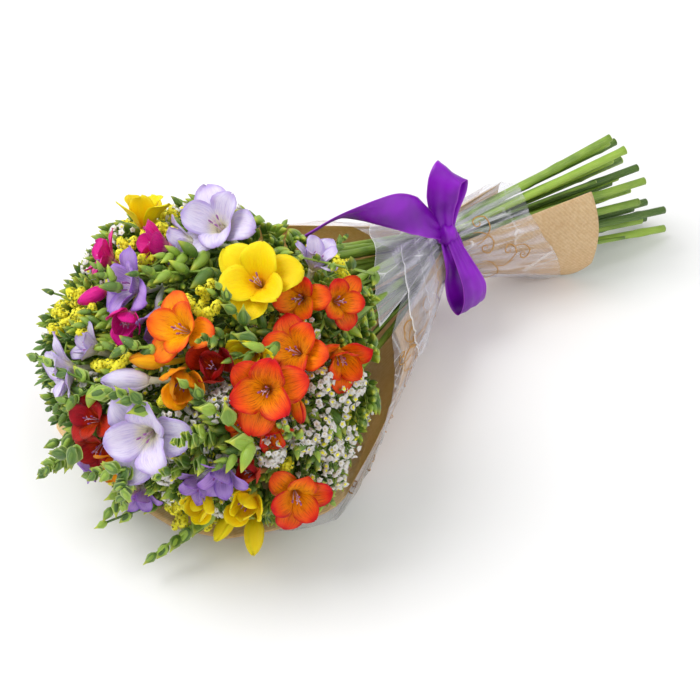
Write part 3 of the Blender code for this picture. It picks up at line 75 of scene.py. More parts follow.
# The plane in which the flowers are arranged: seen from the front left, 45 degrees above the table
SEEN_MIDDLE = np.array([50.0, -20.0, 40.0])
SEEN_BEARING = math.radians(-30.0)
SEEN_HEIGHT = math.radians(45.0)
SEEN_DISTANCE = 1150.0

# Stems and twigs
STEM_RADIUS = 2.1
CUT_RADIUS = 2.8
FILLER_RADIUS = 1.2
TWIG_RADIUS = 1.3
BRANCH_STEP = 3.2
STEM_GAP = 0.9
FINGER_GAP = 0.3
TABLE_GAP = 0.4

# How much room a flower's tube, a flower and a sprig with its buds take up while the stems ease apart
FLOWER_TUBE_ROOM = 2.6
FLOWER_ROOM = 8.0
SPRIG_ROOM = 2.6
EASE_STEP = 0.9
WALL_STEP = 0.12
BEND_STEP = 0.04
EASE_REACH = 18.0
STRAND_SPACING = 4.0

# The stretch of the cone in which stems keep off its walls, and where it lies open above
WALL_ROOM = 6.5
WALLED_FROM = 12.0
WALLED_TO = 245.0
OPEN_SIDE_FROM = 88.0
OPEN_TOP_FROM = 130.0

# The rolled sheets: radius at the tie, thicknesses and the gap between them
FILM_RADIUS = 21.8
TIE_HALF = 7.5
FILM_THICK = 0.7
RIB_PITCH = 2.0
SHEET_GAP = 0.35
CONE_AHEAD = np.array([-0.98, -0.2, 0.045])
CONE_BEHIND = np.array([1.0, -0.07, 0.0])
HEAD_SIDE = np.array([-0.2, 0.98, 0.0])
CONE_TURN = 40.0
STRING_RADIUS = 0.65
STRING_RING = 18.85

# The satin ribbon
BAND_RADIUS = 22.15
BAND_WIDTH = 13.0
KNOT = np.array([142.5, 11.1, 77.0])
KNOT_RADIUS = 9.0

# The finishes of the petals, named as the record names them
PALE_LAVENDER = "lavender_petals"
VIOLET = "violet_petals"
MAGENTA = "magenta_petals"
ORANGE = "orange_petals"
ORANGE_RED = "orange_red_petals"
DARK_RED = "dark_red_petals"
AMBER = "amber_petals"
YELLOW = "yellow_petals"

Bloom = namedtuple("Bloom", "kind centre facing size roll")
Body = namedtuple("Body", "name colour blooms")
Sprig = namedtuple("Sprig", "start tip buds length")
Stem = namedtuple("Stem", "name bodies sprigs")
Spray = namedtuple("Spray", "name kind clusters")


# Vectors and places

def unit(vector):
    vector = np.asarray(vector, float)
    return vector / np.linalg.norm(vector)


def square_to(vector, axis):
    """The direction nearest to the vector that is square to the axis."""
    return unit(vector - (vector @ axis) * axis)


def around(angles, first, second):
    """Directions at these angles, turned from the first direction towards the second."""
    angles = np.asarray(angles)[..., None]
    return np.cos(angles) * first + np.sin(angles) * second


def lengths_along(path):
    """How far along a path each of its points lies."""
    return np.concatenate([[0.0], np.cumsum(np.linalg.norm(np.diff(path, axis=0), axis=1))])


def full_turn(count):
    return np.arange(count) * 2 * math.pi / count


BUNDLE_AXIS = unit([-0.9975, -0.05, 0.05])
ACROSS_BUNDLE = unit(np.array([0.0, 1.0, 0.0]) - BUNDLE_AXIS[1] * BUNDLE_AXIS)
UP_BUNDLE = np.cross(ACROSS_BUNDLE, BUNDLE_AXIS)
SEEN_BACK = np.array([
    math.sin(SEEN_BEARING) * math.cos(SEEN_HEIGHT),
    -math.cos(SEEN_BEARING) * math.cos(SEEN_HEIGHT),
    math.sin(SEEN_HEIGHT),
])
SEEN_RIGHT = np.array([math.cos(SEEN_BEARING), math.sin(SEEN_BEARING), 0.0])
SEEN_UP = np.cross(SEEN_BACK, SEEN_RIGHT)
EYE = SEEN_MIDDLE + SEEN_DISTANCE * SEEN_BACK
DOME_LEVEL = np.array([math.cos(DOME_YAW), math.sin(DOME_YAW), 0.0])
DOME_AXES = np.array([
    -math.cos(DOME_PITCH) * DOME_LEVEL + np.array([0.0, 0.0, math.sin(DOME_PITCH)]),
    [-math.sin(DOME_YAW), math.cos(DOME_YAW), 0.0],
    math.sin(DOME_PITCH) * DOME_LEVEL + np.array([0.0, 0.0, math.cos(DOME_PITCH)]),
])


def seen(across, rise, lift=0.0):
    """The point on the dome seen at this place in the plane, lifted towards the eye."""
    aim = SEEN_MIDDLE + across * SEEN_RIGHT + rise * SEEN_UP
    ray = unit(aim - EYE)
    start = DOME_AXES @ (EYE - DOME_CENTRE) / DOME_HALF
    run = DOME_AXES @ ray / DOME_HALF
    nearest = -start @ run / (run @ run)
    miss = start + nearest * run
    depth = 1.0 - miss @ miss
    reach = nearest - math.sqrt(max(depth, 0.0) / (run @ run)) - lift
    point = EYE + reach * ray
    lowest = 7.0
    if point[2] < lowest:
        point = point + ray * (lowest - point[2]) / ray[2]
    return point


def face(right, up, near):
    """A direction given as it is seen: to the right, up the plane and towards the eye."""
    return unit(right * SEEN_RIGHT + up * SEEN_UP + near * SEEN_BACK)


def dome_normal(point):
    local = DOME_AXES @ (point - DOME_CENTRE) / DOME_HALF ** 2
    return unit(DOME_AXES.T @ local)


# The bouquet, stem by stem. Places are (across, rise, lift) in the plane, in real sizes, and facings as
# face() takes them. At the back, both are [x, y, z]. A stem has bodies of blooms (kind, centre, facing,
# size and roll) and sprigs (start, tip, buds and their length).

PLANTED = [
    ("lavender_top", [("lavender_top", PALE_LAVENDER, [
        ("open", (-84, 79, 12), (-0.3, 0.35, 0.75), 28, 10),
        ("half", (-103, 70, 4), (-1, 0.05, 0.2), 20, 0),
    ])], [((-74, 68, 8), (-38, 57, 8), 5, 12)]),
    ("yellow_top", [("yellow_top", YELLOW, [
        ("half", (-135, 80, -2), (0, 0.9, 0.2), 24, 20),
    ])], [((-138, 66, 4), (-152, 74, 4), 3, 9)]),
    ("magenta_top", [("magenta_top", MAGENTA, [
        ("half", (-120, 68, 4), (-0.8, 0.1, 0.3), 20, 30),
    ])], [((-92, 57, 8), (-122, 53, 8), 4, 16)]),
    ("magenta_left", [("magenta_left", MAGENTA, [
        ("open", (-156, 58, 0), (-0.8, 0.4, 0.2), 18, 0),
        ("closed", (-162, 39, 0), (-0.8, -0.4, 0.2), 17, 0),
    ])], [((-146, 47, 5), (-165, 54, 5), 3, 11)]),
    ("violet_upper", [("violet_upper", VIOLET, [
        ("open", (-138, 41, 4), (-0.7, 0.1, 0.5), 24, 0), ("half", (-125, 27, 2), (0.1, -0.8, 0.5), 22, 20),
    ])], [((-96, 48, 12), (-133, 43, 12), 6, 14), ((-110, 40, 12), (-123, 31, 12), 4, 9)]),
    ("magenta_low", [("magenta_low", MAGENTA, [
        ("cup", (-145, 22, 7), (-0.2, -0.5, 0.8), 17, 10),
    ])], [((-124, 5, 6), (-175, 11, 6), 8, 13), ((-150, 12, 5), (-170, 29, 5), 3, 13)]),
    ("orange_left", [("orange_left", ORANGE, [
        ("open", (-107, 12, 9), (-0.4, 0.15, 0.8), 24, 5),
    ]), ("amber_left", AMBER, [
        ("cup", (-110, -17, 2), (0, -0.5, 0.75), 22, 0), ("closed", (-124, -7, 4), (-1, 0.05, 0.3), 22, 0),
    ])], [((-74, -2, 9), (-98, 4, 9), 4, 10)]),
    ("dark_red", [("dark_red", DARK_RED, [
        ("cup", (-89, -12, 3), (-0.1, 0.1, 1), 20, 30),
    ])], [((-66, 2, 10), (-90, 36, 10), 7, 12)]),
    ("yellow_middle", [("yellow_middle", YELLOW, [
        ("open", (-59, 43, 10), (-0.15, 0.2, 0.8), 29, 25),
        ("half", (-61, 0, 2), (-0.4, -0.3, 0.7), 22, 10),
    ])], [((-38, 21, 10), (-76, 4, 10), 6, 11)]),
    ("orange_red_upper", [("orange_red_upper", ORANGE_RED, [
        ("open", (-32, 34, 10), (-0.25, -0.1, 0.95), 19, 15),
        ("open", (-9, 32, 13), (0.35, 0, 0.93), 18, 40),
    ])], [
        ((2, 22, 10), (2, -10, 8), 3, 12), ((-33, 58, 6), (-4, 73, 6), 6, 10),
        ((-10, 18, 10), (-23, 7, 12), 2, 13),
    ]),
    ("orange_red_middle", [("orange_red_middle", ORANGE_RED, [
        ("open", (-34, -2, 7), (-0.3, 0.15, 0.85), 23, 0),
        ("half", (-8, -2, 2), (0.25, -0.45, 0.8), 23, 20),
    ])], [((-49, 1, 12), (-75, -12, 12), 3, 14)]),
    ("orange_red_large", [("orange_red_large", ORANGE_RED, [
        ("open", (-54, -26, 10), (-0.15, -0.1, 0.95), 27, 20),
        ("closed", (-35, -35, 4), (0.2, -0.7, 0.6), 15, 0),
        ("half", (-66, -45, 2), (-0.5, -0.5, 0.6), 15, 0),
        ("half", (-53, -49, 2), (0.1, -0.7, 0.6), 16, 30),
    ])], [((-36, -46, 6), (-39, -66, 6), 2, 13), ((-27, -44, 6), (-24, -66, 6), 2, 12)]),
    ("lavender_left", [("lavender_left", PALE_LAVENDER, [
        ("open", (-180, -13, 0), (-0.9, -0.15, 0.35), 24, 0),
        ("half", (-166, 0, -4), (-0.7, 0.3, 0.4), 16, 0),
    ]), ("lavender_tube", PALE_LAVENDER, [
        ("closed", (-135, -20, 5), (-1, 0, 0.15), 25, 0),
    ])], [((-158, -18, 7), (-206, -4, 7), 6, 13), ((-152, -26, 7), (-192, -44, 7), 8, 13)]),
    ("red_left", [("red_left", DARK_RED, [
        ("open", (-166, -46, 2), (-0.5, 0.1, 0.8), 17, 0),
        ("open", (-163, -62, 2), (-0.3, -0.5, 0.8), 16, 30),
    ]), ("amber_low", AMBER, [
        ("half", (-152, -69, 0), (-0.3, -0.7, 0.5), 17, 0),
    ])], [((-174, -48, 5), (-192, -60, 5), 4, 14), ((-172, -64, 2), (-199, -80, 2), 5, 11)]),
    ("lavender_low", [("lavender_low", PALE_LAVENDER, [
        ("open", (-130, -54, 12), (-0.35, -0.25, 0.9), 31, 15),
    ]), ("violet_small", VIOLET, [
        ("half", (-165, -74, -6), (-0.8, -0.4, 0.3), 14, 0),
        ("half", (-138, -90, -2), (0, -0.8, 0.4), 16, 0),
    ])], [((-128, -34, 8), (-154, -28, 8), 4, 12), ((-146, -80, 6), (-155, -106, 6), 6, 13)]),
    ("violet_low", [("violet_low", VIOLET, [
        ("half", (-83, -76, 4), (-0.2, -0.7, 0.6), 20, 0),
        ("half", (-96, -84, 2), (-0.6, -0.6, 0.4), 16, 20),
    ])], [((-68, -58, 11), (-107, -26, 11), 7, 14), ((-74, -64, 11), (-110, -54, 11), 5, 13)]),
    ("red_low", [("red_star", ORANGE_RED, [
        ("open", (-36, -94, 8), (0.15, -0.35, 0.9), 22, 10),
    ]), ("red_cup", DARK_RED, [
        ("cup", (-64, -80, 7), (-0.4, 0, 0.9), 14, 0),
    ])], [((-32, -76, 8), (-13, -98, 8), 4, 11), ((-58, -68, 8), (-80, -62, 9), 3, 12)]),
    ("yellow_low", [("yellow_low", YELLOW, [
        ("cup", (-66, -98, 7), (-0.3, -0.3, 0.9), 20, 0), ("cup", (-94, -97, 0), (-0.5, -0.5, 0.6), 17, 30),
        ("closed", (-63, -112, 0), (0, -0.9, 0.3), 22, 0),
        ("closed", (-78, -110, 0), (-0.5, -0.7, 0.3), 18, 0),
    ])], [((-92, -121, 2), (-128, -134, 2), 6, 13), ((-126, -107, 3), (-160, -112, 3), 4, 11)]),
    ("lavender_back", [("lavender_right", PALE_LAVENDER, [
        ("half", (-24, 54, 2), (0.2, 0.5, 0.4), 20, 0),
    ]), ("lavender_back", PALE_LAVENDER, [
        ("open", [-14.0, 60.0, 108.0], [0.1, 0.8, 0.55], 25, 20),
        ("half", [10.0, 72.0, 80.0], [0.5, 0.8, 0.25], 24, 40),
    ])], [([4.0, 52.0, 112.0], [36.0, 44.0, 104.0], 5, 12)]),
    ("orange_red_back", [("orange_red_back", ORANGE_RED, [
        ("open", [-44.0, 84.0, 84.0], [-0.1, 0.9, 0.4], 27, 0),
        ("half", [-10.0, 88.0, 64.0], [0.2, 0.9, 0.3], 24, 0),
        ("half", [-46.0, 94.0, 54.0], [-0.1, 0.95, 0.1], 22, 25),
    ])], [([-8.0, 74.0, 96.0], [20.0, 66.0, 100.0], 5, 12)]),
    ("magenta_back", [("magenta_back", MAGENTA, [
        ("open", [-88.0, 72.0, 70.0], [-0.6, 0.75, 0.2], 25, 0),
        ("half", [-76.0, 90.0, 44.0], [-0.4, 0.9, 0.1], 22, 0),
        ("half", [-108.0, 58.0, 46.0], [-0.8, 0.6, 0.0], 20, 20),
    ])], [([-92.0, 62.0, 92.0], [-112.0, 80.0, 86.0], 4, 12)]),
]

SPRAYED = [
    ("solidago_left", [(-178, 34, 0), (-173, 22, 2), (-172, 6, 2), (-166, -8, 2), (-150, -9, 6)]),
    ("solidago_top", [(-146, 66, 6), (-132, 61, 8), (-145, 54, 4), (-151, 47, 4)]),
    ("solidago_middle", [(-103, 29, 4), (-91, 24, 6), (-75, 28, 4), (-94, 37, 4), (1, 52, 4), (-2, 41, 2)]),
    ("solidago_low", [(-108, -96, 2), (-92, -110, -2), (-112, -108, -2), (-76, -90, 8), (-66, -68, 4)]),
    ("statice_left", [(-124, 9, 8), (-120, -28, 6), (-148, -37, 5), (-140, -42, 6), (-170, -24, -2)]),
    ("statice_centre", [(-99, -31, 7), (-87, -38, 8), (-79, -31, 6), (-92, -46, 8), (-70, -34, 4)]),
    ("statice_low", [
        (-72, -50, 8), (-62, -58, 6), (-55, -64, 6), (-78, -56, 6), (-47, -70, 4), (-122, -80, 4),
    ]),
    ("statice_right", [
        (-19, -20, 6), (-8, -26, 4), (2, -22, 2), (-19, -52, 2), (-14, -64, 0), (-28, -60, 4),
    ]),
]


def spot_at(place):
    """A place from the lists: a tuple as it is seen, or a list of x, y and z."""
    return seen(*place) if isinstance(place, tuple) else np.array(place)


def bloom_of(kind, centre, facing, *rest):
    return Bloom(kind, spot_at(centre), face(*facing) if isinstance(facing, tuple) else unit(facing), *rest)


STEMS = [
    Stem(name, [Body(*body, [bloom_of(*bloom) for bloom in blooms]) for *body, blooms in bodies],
         [Sprig(spot_at(start), spot_at(tip), *rest) for start, tip, *rest in sprigs])
    for name, bodies, sprigs in PLANTED
]
SPRAYS = [Spray(name, name.split("_")[0], [seen(*spot) for spot in spots]) for name, spots in SPRAYED]


def ring_frames(path):
    """Each point's tangent and two directions square to it, turned as little as possible."""
    path = np.asarray(path, float)
    tangents = np.gradient(path, axis=0)
    tangents = tangents / np.linalg.norm(tangents, axis=1)[:, None]
    first = np.eye(3)[np.argmin(np.abs(tangents[0]))]
    sides = []
    for tangent in tangents:
        first = square_to(first, tangent)
        sides.append(first)
    sides = np.array(sides)
    return tangents, sides, np.cross(tangents, sides)


# How far the petals open: angles from the flower's axis at the root and at the tip
OUTER_OPENING = {"open": (40.0, 92.0), "half": (30.0, 60.0), "cup": (60.0, -6.0)}
INNER_OPENING = {"open": (18.0, 66.0), "half": (8.0, 36.0), "cup": (38.0, -22.0)}
PETAL_WIDTH = {"open": 0.35, "half": 0.31, "cup": 0.34}
THROAT_RADIUS = 3.2
BASE_RADIUS = 1.5
SIDE_BASE_RADIUS = 1.05
BEND_BELOW = 8.0
PROFILE_STEPS = 24


def bloom_axes(bloom):
    axis = unit(bloom.facing)
    level = unit(np.cross(axis, np.array([0.13, 0.21, 0.97])))
    return axis, level, np.cross(axis, level)


def petal_profile(bloom, number, opening, reach):
    """A petal's midline: radius, height and angle from the axis at equal steps."""
    inner = number % 2 == 0
    start, end = (INNER_OPENING if inner else OUTER_OPENING)[bloom.kind]
    end = math.radians(end + opening)
    start = math.radians(start + 0.3 * opening)
    run = bloom.size * reach * (0.94 if inner else 1.0) / PROFILE_STEPS
    radius = THROAT_RADIUS * math.cos(math.radians(30.0))
    height = 0.0
    profile = [(radius, height, start)]
    for i in range(PROFILE_STEPS):
        angle = start + (end - start) * (i + 0.5) / PROFILE_STEPS
        radius += run * math.sin(angle)
        height += run * math.cos(angle)
        profile.append((radius, height, angle))
    return profile


# The cone of paper and film: one surface, from the tail through the tie to the lips


def blend(points, at):
    keys, values = zip(*points)
    return float(np.interp(at, keys, values))


def cone_axis(distance):
    """The middle of the cone this far from the tie."""
    tied = min(max(distance, -TIE_HALF), TIE_HALF)
    ahead = max(distance - TIE_HALF, 0.0)
    behind = max(-distance - TIE_HALF, 0.0)
    return NECK + tied * BUNDLE_AXIS + ahead * CONE_AHEAD + behind * CONE_BEHIND


def cone_side(distance):
    """The level direction across the cone, which turns towards the head."""
    lean = min(max(distance - TIE_HALF, 0.0) / CONE_TURN, 1.0)
    return unit((1.0 - lean) * ACROSS_BUNDLE + lean * HEAD_SIDE)


def cone_point(degrees, distance):
    angle = math.radians(degrees)
    cos, sin = math.cos(angle), math.sin(angle)
    middle = cone_axis(distance)
    turn = degrees % 360
    flare = max(abs(distance) - TIE_HALF, 0.0)
    if distance >= 0:
        squareness = 1.0 - 0.3 * min(flare / 55.0, 1.0)
        half = min(FILM_RADIUS + 0.57 * flare, 100.0 + 0.12 * flare)
        lie = blend([(0, 1), (60, 1), (97, 0.85), (130, 0.05), (180, 0.05), (181, 1), (360, 1)], turn)
        rise = FILM_RADIUS + 0.34 * flare * lie
        fall = FILM_RADIUS + 0.435 * flare
    else:
        squareness = 1.0
        half = FILM_RADIUS + 0.15 * flare
        rise = FILM_RADIUS + 0.26 * flare
        fall = FILM_RADIUS + 0.42 * flare
    across = half * math.copysign(abs(cos) ** squareness, cos)
    height = (rise if sin > 0 else fall) * sin
    point = middle + across * cone_side(distance) + np.array([0.0, 0.0, height])
    point[2] = max(point[2], 0.0)
    return point


PAPER_LIP = [
    (60, 99), (75, 40), (127, 60), (135, 90), (180, 101), (199, 116), (215, 150), (230, 205), (245, 246),
    (260, 266), (276, 276), (297, 272), (330, 238), (360, 190), (380, 158), (402, 128), (420, 102),
    (435, 80),
]
PAPER_TAIL = [
    (60, -50), (120, -92), (135, -101), (180, -103), (210, -104), (240, -93), (255, -80), (270, -72),
    (330, -70), (400, -62), (420, -52), (435, -50),
]
FILM_LIP = [
    (0, 150), (30, 110), (60, 62), (75, 58), (97, 56), (120, 62), (135, 96), (180, 130), (200, 152),
    (215, 178), (228, 208), (238, 222), (250, 234), (262, 246), (276, 256), (300, 248), (330, 210),
    (360, 150),
]
FILM_TAIL = [
    (0, -44), (60, -52), (90, -60), (130, -56), (165, -62), (195, -74), (225, -84), (240, -86), (255, -76),
    (276, -62), (330, -50), (360, -44),
]
PAPER_FROM = 135
BARE_FROM = 420


def lips_at(degrees):
    """Where paper and film end at this angle, at the tail and at the head."""
    degrees = degrees % 360
    paper_degrees = degrees if degrees >= PAPER_FROM else degrees + 360
    film = blend(FILM_TAIL, degrees), blend(FILM_LIP, degrees)
    if paper_degrees > BARE_FROM:
        return film, film
    return (blend(PAPER_TAIL, paper_degrees), blend(PAPER_LIP, paper_degrees)), film


def cone_normal(degrees, distance):
    """The direction into the cone, square to its surface."""
    step = 1.5
    around = cone_point(degrees + step, distance) - cone_point(degrees - step, distance)
    onward = cone_point(degrees, distance + step) - cone_point(degrees, distance - step)
    inward = unit(np.cross(onward, around))
    if (cone_point(degrees, distance) - cone_axis(distance)) @ inward > 0:
        inward = -inward
    return inward


# Strands: stems, twigs and sprigs as chains of points that ease apart


class Strand:
    """A chain of points with their radii. Held ones stay in place."""

    def __init__(self, owner, control, radius, held, walled=False):
        self.owner = owner
        self.control = np.array(control, float)
        self.radii = np.broadcast_to(np.asarray(radius, float), (len(self.control),))
        self.free = np.ones(len(self.control))
        self.free[list(held)] = 0.0
        self.walled = walled
        own = np.eye(len(self.control))
        rows = []
        for i, step in enumerate(np.diff(self.control, axis=0)):
            count = max(1, math.ceil(np.linalg.norm(step) / STRAND_SPACING))
            rows += [(1 - k / count) * own[i] + k / count * own[i + 1] for k in range(count)]
        self.weights = np.array(rows + [own[-1]])


def near_pairs(points, owners, reach):
    first, second = [], []
    for start in range(0, len(points), 400):
        block = points[start:start + 400]
        gaps = np.linalg.norm(block[:, None] - points[None], axis=2)
        a, b = np.nonzero(gaps < reach)
        a = a + start
        keep = (a < b) & (owners[a] != owners[b])
        first.append(a[keep])
        second.append(b[keep])
    return np.concatenate(first), np.concatenate(second)


def wall_moves(points):
    """Moves that bring points back inside the cone, clear of its walls."""
    moves = np.zeros_like(points)
    for i, point in enumerate(points):
        distance = (point - NECK) @ unit(CONE_AHEAD)
        if distance < WALLED_FROM or distance > WALLED_TO:
            continue
        middle = cone_axis(distance)
        offset = point - middle
        across = offset @ cone_side(distance)
        if offset[2] > 0 and distance > (OPEN_SIDE_FROM if across < 0 else OPEN_TOP_FROM):
            continue
        degrees = math.degrees(math.atan2(offset[2], across)) % 360
        wall = cone_point(degrees, distance) - middle
        reach = np.linalg.norm(wall)
        allowed = reach - WALL_ROOM
        size = np.linalg.norm(offset)
        if size > allowed:
            moves[i] = -(size - allowed) / size * offset
    return moves


def ease_apart(strands, rounds=70):
    """Push strands of different owners apart until each pair has its gap."""
    ends = np.cumsum([0] + [len(strand.weights) for strand in strands])
    spans = [slice(*pair) for pair in zip(ends, ends[1:])]
    owners = np.repeat([strand.owner for strand in strands], np.diff(ends))
    radii = np.concatenate([strand.weights @ strand.radii for strand in strands])
    for turn in range(rounds):
        points = np.concatenate([strand.weights @ strand.control for strand in strands])
        if turn % 10 == 0:
            a, b = near_pairs(points, owners, EASE_REACH)
            walls = np.zeros_like(points)
            for strand, span in zip(strands, spans):
                if strand.walled:
                    walls[span] = wall_moves(points[span])
        apart = points[a] - points[b]
        distance = np.linalg.norm(apart, axis=1)
        short = np.maximum(radii[a] + radii[b] + STEM_GAP - distance, 0.0)
        push = (0.5 * short / np.maximum(distance, 0.01))[:, None] * apart
        moves = np.zeros_like(points)
        for axis in range(3):
            moves[:, axis] += np.bincount(a, push[:, axis], len(points))
            moves[:, axis] -= np.bincount(b, push[:, axis], len(points))
        moves += WALL_STEP * walls
        moves[:, 2] += np.maximum(radii + TABLE_GAP + 0.2 - points[:, 2], 0.0)
        moved = (np.abs(moves).sum(axis=1) > 1e-9).astype(float)
        for strand, span in zip(strands, spans):
            free, part = strand.free[:, None], strand.weights.T
            shift, share = part @ moves[span], part @ moved[span]
            strand.control += free * EASE_STEP * shift / (share[:, None] + 0.15)
            bend = np.zeros_like(strand.control)
            bend[1:-1] = strand.control[:-2] + strand.control[2:] - 2 * strand.control[1:-1]
            strand.control += free * BEND_STEP * bend


def neck_slots(count):
    """Places for the stems in the tie: the innermost of a hexagonal packing."""
    places = [
        ((column + 0.5 * (row % 2)) * SLOT_SPACING, row * SLOT_SPACING * math.sqrt(0.75))
        for row in range(-4, 5) for column in range(-5, 6)
    ]
    places.sort(key=lambda place: (round(math.hypot(*place), 3), round(math.atan2(place[1], place[0]), 3)))
    return np.array(places[:count])


def matched_slots(directions):
    """Each stem's slot, so that no two stems need to cross on their way to their heads."""
    slots = neck_slots(len(directions))
    order = list(range(len(directions)))
    swapped = True
    while swapped:
        swapped = False
        for i in range(len(order)):
            for j in range(i):
                gain = (slots[order[i]] - slots[order[j]]) @ (directions[i] - directions[j])
                if gain < -1e-9:
                    order[i], order[j] = order[j], order[i]
                    swapped = True
    return slots[order]


def body_base(body):
    """Where a body's flower tubes grow from, and their direction there."""
    centre = np.mean([bloom.centre for bloom in body.blooms], axis=0)
    facing = unit(np.mean([unit(bloom.facing) for bloom in body.blooms], axis=0))
    longest = max(bloom.size for bloom in body.blooms)
    base = centre - (14.0 + 0.45 * longest) * facing
    return base, unit(centre - base)


def fork_of(stem):
    bases = [body_base(body) for body in stem.bodies]
    middle = np.mean([base for base, _ in bases], axis=0)
    leaving = np.mean([direction for _, direction in bases], axis=0)
    return middle - 9.0 * leaving + 15.0 * unit(NECK + 12.0 * BUNDLE_AXIS - middle)


def spray_fork(spray):
    middle = np.mean(spray.clusters, axis=0)
    return middle - 30.0 * dome_normal(middle) + 12.0 * unit(NECK - middle)


def long_stem(owner, slot, fork, radius, number):
    """A stem from its cut end through the tie to its fork."""
    passing = NECK + slot[0] * ACROSS_BUNDLE + slot[1] * UP_BUNDLE
    raised = slot[1] > 14.0
    cos, sin = math.cos(TAIL_TWIST), math.sin(TAIL_TWIST)
    fanned = cos * slot[0] - sin * slot[1], sin * slot[0] + cos * slot[1]
    end = TAIL_CENTRE + np.array([0.0, TAIL_FAN[0] * fanned[0], TAIL_FAN[1] * fanned[1]])
    end[0] += TAIL_LEAN * (end[2] - TAIL_CENTRE[2]) + TAIL_STAGGER * math.sin(2.4 * number)
    if radius < STEM_RADIUS:
        end = passing + (end - passing) * TAIL_FILLER
    if raised:
        end += np.array([-10.0, 4.0, 14.0])
    end[2] = max(end[2], TAIL_LOWEST)
    along = -BUNDLE_AXIS
    before = passing + 12.0 * along
    after = passing - 12.0 * along
    bow = TAIL_BOW * np.array([0.0, math.sin(1.7 * number), math.cos(2.3 * number)])
    control = [end, 0.3 * before + 0.7 * end - bow, 0.65 * before + 0.35 * end + bow, before, after]
    control += [after + 0.33 * (fork - after), after + 0.66 * (fork - after), fork]
    thickness = radius if radius < STEM_RADIUS else CUT_RADIUS
    radii = [thickness, thickness, 0.5 * (thickness + radius)] + [radius] * 5
    return Strand(owner, control, radii, held=(0, 3, 4, 7), walled=True)


def twig(owner, fork, base, leaving):
    """The last stretch of a stem, from its fork to just under a flower's base."""
    middle = 0.5 * (fork + base - 9.0 * leaving)
    control = [fork, middle, base - 5.0 * leaving, base - FINGER_GAP * leaving]
    return Strand(owner, control, TWIG_RADIUS, held=(0, 2, 3))


def sprig_strand(owner, fork, sprig):
    run = sprig.tip - sprig.start
    before = sprig.start - 0.3 * run - 8.0 * dome_normal(sprig.start)
    middle = 0.5 * (sprig.start + sprig.tip) + 2.5 * dome_normal(sprig.start)
    return Strand(owner, [fork, before, sprig.start, middle, sprig.tip], SPRIG_ROOM, held=(0,))


def branched(control, stem, back):
    """A twig with its root moved into its stem, this far back from the stem's end."""
    root = stem[-1] + back * unit(stem[-2] - stem[-1])
    return np.concatenate([[root], control[1:]])


def flower_paths(body):
    """The middles of a body's flower tubes. All but the first grow from the first."""
    base, _ = body_base(body)
    bends = [bloom.centre - BEND_BELOW * unit(bloom.facing) for bloom in body.blooms]
    roots = [base] + [base + (0.12 + 0.06 * number) * (bends[0] - base) for number in range(1, len(bends))]
    return [np.array([root, bend, bloom.centre]) for root, bend, bloom in zip(roots, bends, body.blooms)]


# Ways to set a petal, best first: how much further it opens, its share of the length and its turn
PETAL_CHOICES = [
    (0, 1.0, 0), (-10, 1.0, 0), (8, 1.0, 0), (0, 1.0, 9), (0, 1.0, -9), (-18, 1.0, 0), (-10, 1.0, 10),
    (-10, 1.0, -10), (16, 1.0, 0), (-28, 0.95, 0), (0, 0.85, 0), (-20, 0.85, 9), (-20, 0.85, -9),
    (-38, 0.9, 0), (10, 0.78, 0), (-30, 0.75, 0), (-50, 0.8, 0), (-50, 0.65, 0),
]

# Ways to set a closed flower and a bud: shares of the length, and for a bud the side it leans to
CLOSED_CHOICES = [1.0, 0.85, 0.7, 0.5]
CLOSED_WIDTH = 0.27
CLOSED_OUTLINE = [
    (0, 0.3), (0.12, 0.66), (0.3, 0.98), (0.5, 1.0), (0.7, 0.88), (0.85, 0.62), (0.95, 0.34), (1.0, 0.12),
]
BUD_WIDTH = 0.25
BUD_CHOICES = [(1, 1.0), (1, 0.85), (-1, 1.0), (-1, 0.85), (1, 0.7), (-1, 0.7)]

# Florets of a cluster: how far back along the twig, how far they lean out and their turn round it
FLORET_PLACES = ((0.5, 0, 0), (1.4, 66, 0), (2.6, 66, 180))
FLORET_SIZE = {"statice": 5.6, "solidago": 5.8}
FLORET_CHOICES = [1.0, 0.85, 0.7]

# The finish of each kind
FLORETS = {"statice": "statice_papery", "solidago": "solidago_yellow"}


def smooth_path(points, steps):
    """Points along a smooth curve through the given ones."""
    points = np.asarray(points, float)
    ends = np.concatenate([[2 * points[0] - points[1]], points, [2 * points[-1] - points[-2]]])
    result = []
    for place in np.linspace(0, len(points) - 1, steps):
        i = min(int(place), len(points) - 2)
        t = place - i
        a, b, c, d = ends[i:i + 4]
        result.append(0.5 * (2 * b + (c - a) * t + (2 * a - 5 * b + 4 * c - d) * t * t
                             + (3 * b - a - 3 * c + d) * t ** 3))
    return np.array(result)


